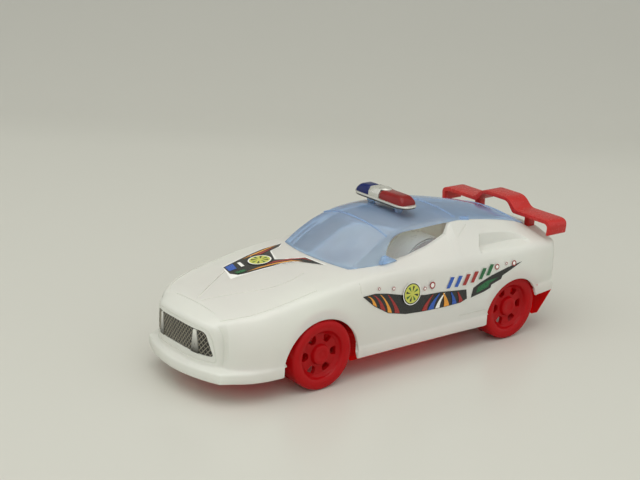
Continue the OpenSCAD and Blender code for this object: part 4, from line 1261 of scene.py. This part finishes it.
class TOYCAR_OT_wheels(bpy.types.Operator):
    """Build the four dished wheels with their openings and hub caps"""

    bl_idname = "toycar.wheels"
    bl_label = "Wheels"

    def execute(self, context):
        settings = context.scene.toy_red
        red = plastic("wheel_red", settings.wheel, rough=0.15, scale=70, bump=0.01, through=0.45,
                      specular=0.25)
        for place, x in AXLES.items():
            for name, side in (("left", 1), ("right", -1)):
                wheel = self.wheel(x, side, settings.windows)
                wheel.name = f"{place}_{name}_wheel_shape"
                paint(wheel, red)
                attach(wheel, f"{place}_wheelset")
                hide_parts(f"{place}_{name}_wheel")
        return {"FINISHED"}

    def wheel(self, x, side, windows):
        profile = [(radius, WHEEL_FACE - depth) for radius, depth in WHEEL_SECTION]
        wheel = spin("wheel", profile, (x, WHEEL_RADIUS), side)
        shape = round_outline(WHEEL_WINDOW, 1.5)
        depth = (side * (WHEEL_FACE - 9), side * (WHEEL_FACE - 1))
        cutters = []
        for k in range(windows):
            c, s = math.cos(2 * math.pi * k / windows), math.sin(2 * math.pi * k / windows)
            turned = [(x + u * c - v * s, WHEEL_RADIUS + u * s + v * c) for u, v in shape]
            cutters.append(prism("window", turned, upright, depth))
        return combine(wheel, join("windows", cutters))


class TOYCAR_OT_grille(bpy.types.Operator):
    """Build the dark mesh grille with its two bright bars"""

    bl_idname = "toycar.grille"
    bl_label = "Grille print"

    def execute(self, context):
        dark = plastic("grille_dark", srgb(28, 26, 21), rough=0.4, vary=0.2, scale=150)
        wire = plastic("grille_wire", srgb(146, 141, 124), rough=0.35, vary=0.15, scale=200)
        bright = self.fading_silver()
        sheet = self.patch("grille_sheet", grille_outline(0.15), 0.55, 0.22)
        paint(sheet, dark)
        mesh = join("grille_mesh", self.mesh())
        paint(mesh, wire)
        bars = join("grille_bars", [self.bar(side) for side in (1, -1)])
        paint(bars, bright)
        for obj in (sheet, mesh, bars):
            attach(obj, "car_body")
        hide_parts("grille_sticker")
        return {"FINISHED"}

    def fading_silver(self):
        """Silver print that fades to dark towards the foot of a bar."""
        n = Nodes("grille_bright")
        height = n.add("ShaderNodeSeparateXYZ", {"Vector": n.place()}).outputs["Z"]
        fade = n.remap(height, 26 * MM, 37 * MM, *RAMP)
        tone = n.ramp(fade, srgb(62, 60, 54), srgb(226, 226, 218))
        rough = n.level(n.noise(300, 2.0), 0.25, 0.35)
        return n.finish(n.surface("Principled", {"Base Color": tone, "Metallic": 0.4, "Roughness": rough}))

    def patch(self, name, outline, inset, thick):
        """Thin bowed sheet with that outline, set back from the nose face."""
        return bowed_sheet(name, outline, 28, 32,
                           lambda y: nose_face(y, inset), lambda y: nose_face(y, inset + thick))

    def inside(self, y, z):
        """Whether a point of the nose lies within the grille, short of its edge."""
        y = abs(y)
        low = GRILLE_FOOT + GRILLE_ARCH * (1 - y / GRILLE_LOW)
        high = GRILLE_TOP + GRILLE_ARCH * (1 - y / GRILLE_HIGH)
        limit = mix(GRILLE_LOW, GRILLE_HIGH, (z - 25) / 13.6)
        return low + 0.3 < z < high - 0.3 and y < limit - 0.5

    def mesh(self):
        """Diamond wires, each a thin tube that follows the bowed sheet."""
        parts = []
        foot, middle, slope, pitch, rise = 24.6, 32, 1.25, 2.5, 0.27
        for direction, radius in ((1, 0.22), (-1, 0.15)):
            for k in range(-16, 17):
                run = []
                for step in range(60):
                    z = foot + step * rise
                    y = k * pitch + direction * (z - middle) / slope
                    if self.inside(y, z):
                        run.append((nose_face(y, 0.5), y, z))
                if len(run) > 3:
                    parts.append(tube("wire", run, radius, 4))
        return parts

    def bar(self, side):
        outline = [(side * y, z) for y, z in ((13.3, 25.5), (18.9, 25.3), (16.8, 38.4), (14.9, 38.5))]
        return self.patch("bar", round_outline(outline, 0.5, 3), -0.1, 0.6)


# Each shape of a print lies this much above the one before it.
PRINT_STEP = 0.025


def spoked_disc(centre, rims, spoke, turn, colours):
    """Rings of ink with eight spokes; spoke is inner radius, outer radius and half angle."""
    shapes = [(colour, ring(centre, radius)) for colour, radius in rims]
    inner, outer, half = spoke
    for k in range(8):
        a = math.pi / 4 * k + turn
        corners = ((inner, a), (outer, a - half), (outer, a + half))
        outline = [(centre[0] + r * math.cos(t), centre[1] + r * math.sin(t)) for r, t in corners]
        shapes.append((colours[k % 2], outline))
    return shapes


class TOYCAR_OT_films(bpy.types.Operator):
    """Lay the printed films on the hood and both sides"""

    bl_idname = "toycar.films"
    bl_label = "Printed films"

    def execute(self, context):
        settings = context.scene.toy_film
        names = ("black", "red", "orange", "blue", "green", "lime")
        inks = {name: ink(f"ink_{name}", getattr(settings, name)) for name in names}
        inks["white"] = ink("ink_white", srgb(236, 236, 230), 0.03)
        lift = settings.lift / MM

        def on_side(u, v, w):
            return (u, side * (side_skin(u, v) + w), v)

        def on_top(u, v, w):
            return (u, v, top_skin(u, v) + w)

        for side, name in ((1, "left"), (-1, "right")):
            film = self.lay(f"{name}_film", self.side_print(), on_side, lift, inks)
            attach(film, "car_body")
            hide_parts(f"{name}_side_sticker")
        hood = self.lay("hood_film", self.hood_print(), on_top, lift, inks)
        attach(hood, "car_body")
        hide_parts("hood_sticker")
        return {"FINISHED"}

    def lay(self, name, shapes, place, lift, inks):
        """One film from shapes of colour and outline, each a little above the last."""
        names = list(inks)
        parts = bmesh.new()
        for level, (colour, outline) in enumerate(shapes):
            patch = decal("patch", outline, lambda u, v: place(u, v, lift + PRINT_STEP * level))
            for face in patch.data.polygons:
                face.material_index = names.index(colour)
            parts.from_mesh(patch.data)
            bpy.data.objects.remove(patch)
        film = from_bmesh(name, parts)
        paint(film, *inks.values())
        return film

    def side_print(self):
        """Dark crescent with curved stripes, slanted bars, rings and a disc; x and z on the side."""
        bottom = [(-45, 33.4), (-40, 31.7), (-28, 31.4), (-11.5, 31.8), (2, 32.8), (15, 35.8), (25.5, 41.8),
                  (33.5, 48.6)]
        top = [(-44, 39.2), (-34, 40.2), (-24, 41.2), (-12, 41.6), (0, 43.4), (8, 45.4), (16, 47.4),
               (24.5, 48.9)]
        shapes = [
            ("black", bottom + top[::-1]),
            ("black", [(-48, 33.4), (-58, 35.4), (-63, 37), (-63.6, 38.8), (-71, 41.2), (-72, 43.2),
                       (-88, 49.4), (-76, 47.6), (-64, 44.8), (-55, 41.8), (-49.4, 39.2)]),
            ("green", [(-52, 35.6), (-61, 38), (-62, 40), (-69, 42.6), (-60, 41.8), (-53, 39)]),
        ]
        stripes = (
            (25, 5, 1.5, "orange"), (19, 7, 1.9, "red"), (14, 7, 1.5, "orange"), (8.5, 7, 1.9, "red"),
            (-12, -6, 2, "red"), (-17, -6, 2.2, "blue"), (-22, -5, 1.6, "white"), (-29, 3, 2.1, "orange"),
            (-35, 3, 1.8, "blue"), (-40, 3, 1.6, "red"),
        )
        for x, lean, wide, colour in stripes:
            left, right = [], []
            for k in range(8):
                t = k / 7
                at = x + lean * t**1.6
                half = wide * (1 - 0.8 * t)
                for side, edge in ((left, at - half), (right, at + half)):
                    side.append((edge, mix(lookup(edge, bottom) + 0.35, lookup(edge, top) - 0.7, t)))
            shapes.append((colour, left + right[::-1]))
        for x, z, colour in ((-28, 42.6, "blue"), (-34.2, 42.4, "blue"), (-40.4, 42.4, "red"),
                             (-46.6, 43, "red"), (-52.8, 44, "green"), (-58.6, 45.4, "green")):
            shapes.append((colour, [(x, z), (x - 2.6, z - 0.3), (x - 6.2, z + 5.8), (x - 3.4, z + 6.2)]))
        for x, z, r in ((11.6, 49.6, 1.1), (22, 51.2, 0.9), (-11.4, 45.6, 1.1), (-17, 46.6, 2.1),
                        (-67, 49.4, 1.7), (-74.5, 50.2, 0.9), (-80.5, 49.6, 1.7)):
            shapes += [("red", ring((x, z), r)), ("white", ring((x, z), r * 0.62))]
        rims = (("white", 6.6), ("black", 6.1), ("lime", 5.5))
        return shapes + spoked_disc((-1.5, 44.4), rims, (1.2, 4.5, 0.16), 0.3, ("black", "green"))

    def hood_print(self):
        """Forked film ahead of the windscreen, off centre and turned; x and y on the hood."""
        shapes = [
            ("white", [(86, -5.6), (76.3, -3.8), (66.6, -1.9), (56.3, 0.3), (45.6, 4.7), (37.4, 18.6),
                       (39, 0.6), (46, -3.2), (52.4, -9), (46.6, -21.6), (39, -23.4), (33.6, -28.4),
                       (48, -29.4), (59.4, -27.2), (69.4, -25.6), (79, -24)]),
            ("black", [(82, -12), (79, -23), (69.4, -24.6), (60, -26.4), (48, -28.6), (34.6, -28),
                       (39.6, -24.2), (47.2, -22.2), (53.6, -9), (46.6, -2.4), (39.8, 1.2),
                       (38.4, 16.6), (46.2, 3.6), (56.3, -0.8), (66, -3.2), (76, -5.2), (80, -7)]),
            ("orange", [(74, -6.6), (64, -4.6), (56, -2.6), (48.5, 0.6), (43.6, 5), (48, -0.6), (56, -4.2),
                        (66, -6.4)]),
            ("red", [(62, -6.6), (56, -5.2), (48.4, -2.2), (42, 1.8), (40, 8), (40.8, 1.4), (47, -3.4),
                     (56, -7)]),
            ("white", [(60, -2.2), (54, -0.4), (48, 2.4), (44, 5.8), (48, 1.6), (54, -1.2)]),
            ("orange", [(66, -23.6), (56, -25.6), (46, -27.2), (38, -27.4), (46, -26), (56, -24)]),
            ("red", [(57, -23), (50, -24.6), (42, -25.2), (48.6, -23.2), (54, -21.6)]),
            ("blue", [(80.4, -15), (78.6, -21.8), (73, -22.6), (75.6, -14.6)]),
            ("green", [(79.4, -8.2), (74, -7.6), (73.4, -10.4), (79.4, -11.4)]),
            ("white", [(72.6, -14.4), (70.8, -21.4), (69, -21), (70.6, -14.2)]),
        ]
        rims = (("black", 7.3), ("white", 6.7), ("lime", 6))
        return shapes + spoked_disc((60, -14.6), rims, (1.4, 5, 0.15), 0, ("green", "black"))


PAN_EDGE, DRIVE_EDGE = 0.4, 0.15


class TOYCAR_OT_pan_and_drive(bpy.types.Operator):
    """Give the pan, axles, screws and friction drive their materials and edge rounds"""

    bl_idname = "toycar.pan_and_drive"
    bl_label = "Pan and drive"

    def execute(self, context):
        settings = context.scene.toy_red
        red = plastic("pan_red", settings.pan, rough=0.28, through=0.9, specular=0.25)
        steel = metal("drawn_steel", srgb(196, 196, 198), 0.25)
        ivory = plastic("gear_ivory", srgb(226, 220, 196), rough=0.4, vary=0.05)
        grey = plastic("box_grey", srgb(170, 170, 168), rough=0.42)
        iron = metal("flywheel_grey", srgb(120, 120, 124), 0.4)
        finishes = {
            "chassis": red, "chassis_screws": steel, "front_axle": steel, "rear_axle": steel,
            "gearbox_screws": steel, "idler_pin": steel, "flywheel_shaft": steel, "axle_gear": ivory,
            "idler_gear": ivory, "gearbox_right": grey, "gearbox_left": grey, "flywheel": iron,
        }
        for name, material in finishes.items():
            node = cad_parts[name]
            paint(node, material)
            edge = node.modifiers.new("edge_round", "BEVEL")
            edge.width = (PAN_EDGE if name == "chassis" else DRIVE_EDGE) * MM
            edge.segments = 2
            edge.limit_method = "ANGLE"
            edge.angle_limit = math.radians(35)
        return {"FINISHED"}


# Camera fitted to the photo: turn, tip and roll in degrees, place in millimetres.
CAMERA_TURN, CAMERA_TIP, CAMERA_ROLL = (math.radians(a) for a in (141.06, 17.48, 2.61))
CAMERA_PLACE = Vector((497.84, 580.73, 303.09))
TOWARD_CAMERA = Vector((math.sin(CAMERA_TURN), -math.cos(CAMERA_TURN), 0))
# Floor, in metres: front end, start of the sweep behind the car, its radius, height and half width.
FLOOR_FRONT, SWEEP_START, SWEEP_RADIUS, BACK_HEIGHT, FLOOR_HALF = 1.6, -0.55, 0.5, 2.4, 2.6
SWEEP_STEPS = 24


class TOYCAR_OT_stage(bpy.types.Operator):
    """Set up the floor, backdrop, lights and camera"""

    bl_idname = "toycar.stage"
    bl_label = "Stage"

    def execute(self, context):
        settings = context.scene.toy_stage
        self.floor(settings)
        self.lights(settings)
        self.camera(settings)
        context.scene.view_settings.view_transform = "Standard"
        return {"FINISHED"}

    def floor(self, settings):
        """Pale floor that sweeps up behind the car."""
        profile = [(FLOOR_FRONT, 0), (SWEEP_START, 0)]
        for k in range(1, SWEEP_STEPS + 1):
            a = math.pi / 2 * k / SWEEP_STEPS
            profile.append((SWEEP_START - SWEEP_RADIUS * math.sin(a), SWEEP_RADIUS * (1 - math.cos(a))))
        profile.append((SWEEP_START - SWEEP_RADIUS, BACK_HEIGHT))
        across = Vector((-TOWARD_CAMERA.y, TOWARD_CAMERA.x, 0))
        points = []
        for u, z in profile:
            for side in (-FLOOR_HALF, FLOOR_HALF):
                points.append((TOWARD_CAMERA * u + across * side + Vector((0, 0, z))) / MM)
        faces = [[2 * i, 2 * i + 1, 2 * i + 3, 2 * i + 2] for i in range(len(profile) - 1)]
        floor = from_points("studio_floor", points, faces)
        if sum(face.normal.z for face in floor.data.polygons) < 0:
            floor.data.flip_normals()
        paint(floor, self.paper(settings))
        return floor

    def paper(self, settings):
        """Satin paper with painted shade: its colour darkens far behind the car."""
        n = Nodes("studio_paper")
        along = {0: n.place(), 1: -TOWARD_CAMERA}
        depth = n.add("ShaderNodeVectorMath", along, operation="DOT_PRODUCT").outputs["Value"]
        # Painted shade: the paper's colour runs darker with distance behind the car.
        fade = n.remap(depth, settings.painted_shade_start, settings.painted_shade_end, *RAMP)
        tone = n.ramp(fade, settings.floor, shaded(settings.floor, settings.fade))
        rough = n.level(n.noise(6), 0.28, 0.36)
        return n.finish(n.surface("Principled", {"Base Color": tone, "Roughness": rough}))

    def lights(self, settings):
        """Even room light, a large lamp overhead and a weak one at the front left."""
        world = bpy.data.worlds.new("soft_room")
        bpy.context.scene.world = world
        world.use_nodes = True
        background = world.node_tree.nodes["Background"]
        background.inputs["Color"].default_value = (0.995, 0.993, 0.972, 1)
        background.inputs["Strength"].default_value = settings.fill
        for name, place, size, power in (
            ("overhead", (0.25, 0.15, 1.1), 1.3, settings.key),
            ("front_left", (0.45, 1.2, 0.35), 0.9, settings.key * 0.04),
        ):
            data = bpy.data.lights.new(name, "AREA")
            data.shape = "DISK"
            data.size = size
            data.energy = power
            data.color = (1.0, 0.985, 0.95)
            lamp = link(name, data)
            lamp.location = place
            lamp.rotation_euler = (Vector((0, 0, 0.03)) - Vector(place)).to_track_quat("-Z", "Y").to_euler()

    def camera(self, settings):
        """Camera fitted to the photo."""
        back = TOWARD_CAMERA * math.cos(CAMERA_TIP) + Vector((0, 0, math.sin(CAMERA_TIP)))
        level = (-back).cross(Vector((0, 0, 1))).normalized()
        rise = level.cross(-back)
        right = level * math.cos(CAMERA_ROLL) + rise * math.sin(CAMERA_ROLL)
        up = right.cross(-back)
        data = bpy.data.cameras.new("photo_camera")
        data.lens = settings.lens
        data.sensor_width = 36
        data.clip_end = 20
        camera = link("photo_camera", data)
        turned = Matrix((right, up, back)).transposed().to_4x4()
        camera.matrix_world = Matrix.Translation(CAMERA_PLACE * MM) @ turned
        bpy.context.scene.camera = camera


class TOYCAR_PT_panel(bpy.types.Panel):
    """Sidebar panel with the sizes, colours and build steps"""

    bl_idname = "TOYCAR_PT_panel"
    bl_label = "Toy police car"
    bl_space_type = "VIEW_3D"
    bl_region_type = "UI"
    bl_category = "Toy car"

    def draw(self, context):
        for name, group in GROUPS.items():
            box = self.layout.box()
            box.label(text=group.__doc__)
            for key in group.__annotations__:
                box.prop(getattr(context.scene, name), key)
        for step in STEPS:
            self.layout.operator(step.bl_idname)


STEPS = (TOYCAR_OT_shell, TOYCAR_OT_canopy, TOYCAR_OT_wing, TOYCAR_OT_light_bar, TOYCAR_OT_wheels,
         TOYCAR_OT_grille, TOYCAR_OT_films, TOYCAR_OT_pan_and_drive, TOYCAR_OT_stage)
CLASSES = (*GROUPS.values(), *STEPS, TOYCAR_PT_panel)


def register():
    for cls in CLASSES:
        bpy.utils.register_class(cls)
    for name, group in GROUPS.items():
        setattr(bpy.types.Scene, name, PointerProperty(type=group))


def unregister():
    for name in GROUPS:
        delattr(bpy.types.Scene, name)
    for cls in reversed(CLASSES):
        bpy.utils.unregister_class(cls)


def main():
    register()
    bpy.ops.toycar.shell()
    bpy.ops.toycar.canopy()
    bpy.ops.toycar.wing()
    bpy.ops.toycar.light_bar()
    bpy.ops.toycar.wheels()
    bpy.ops.toycar.grille()
    bpy.ops.toycar.films()
    bpy.ops.toycar.pan_and_drive()
    bpy.ops.toycar.stage()


if __name__ == "__main__":
    main()
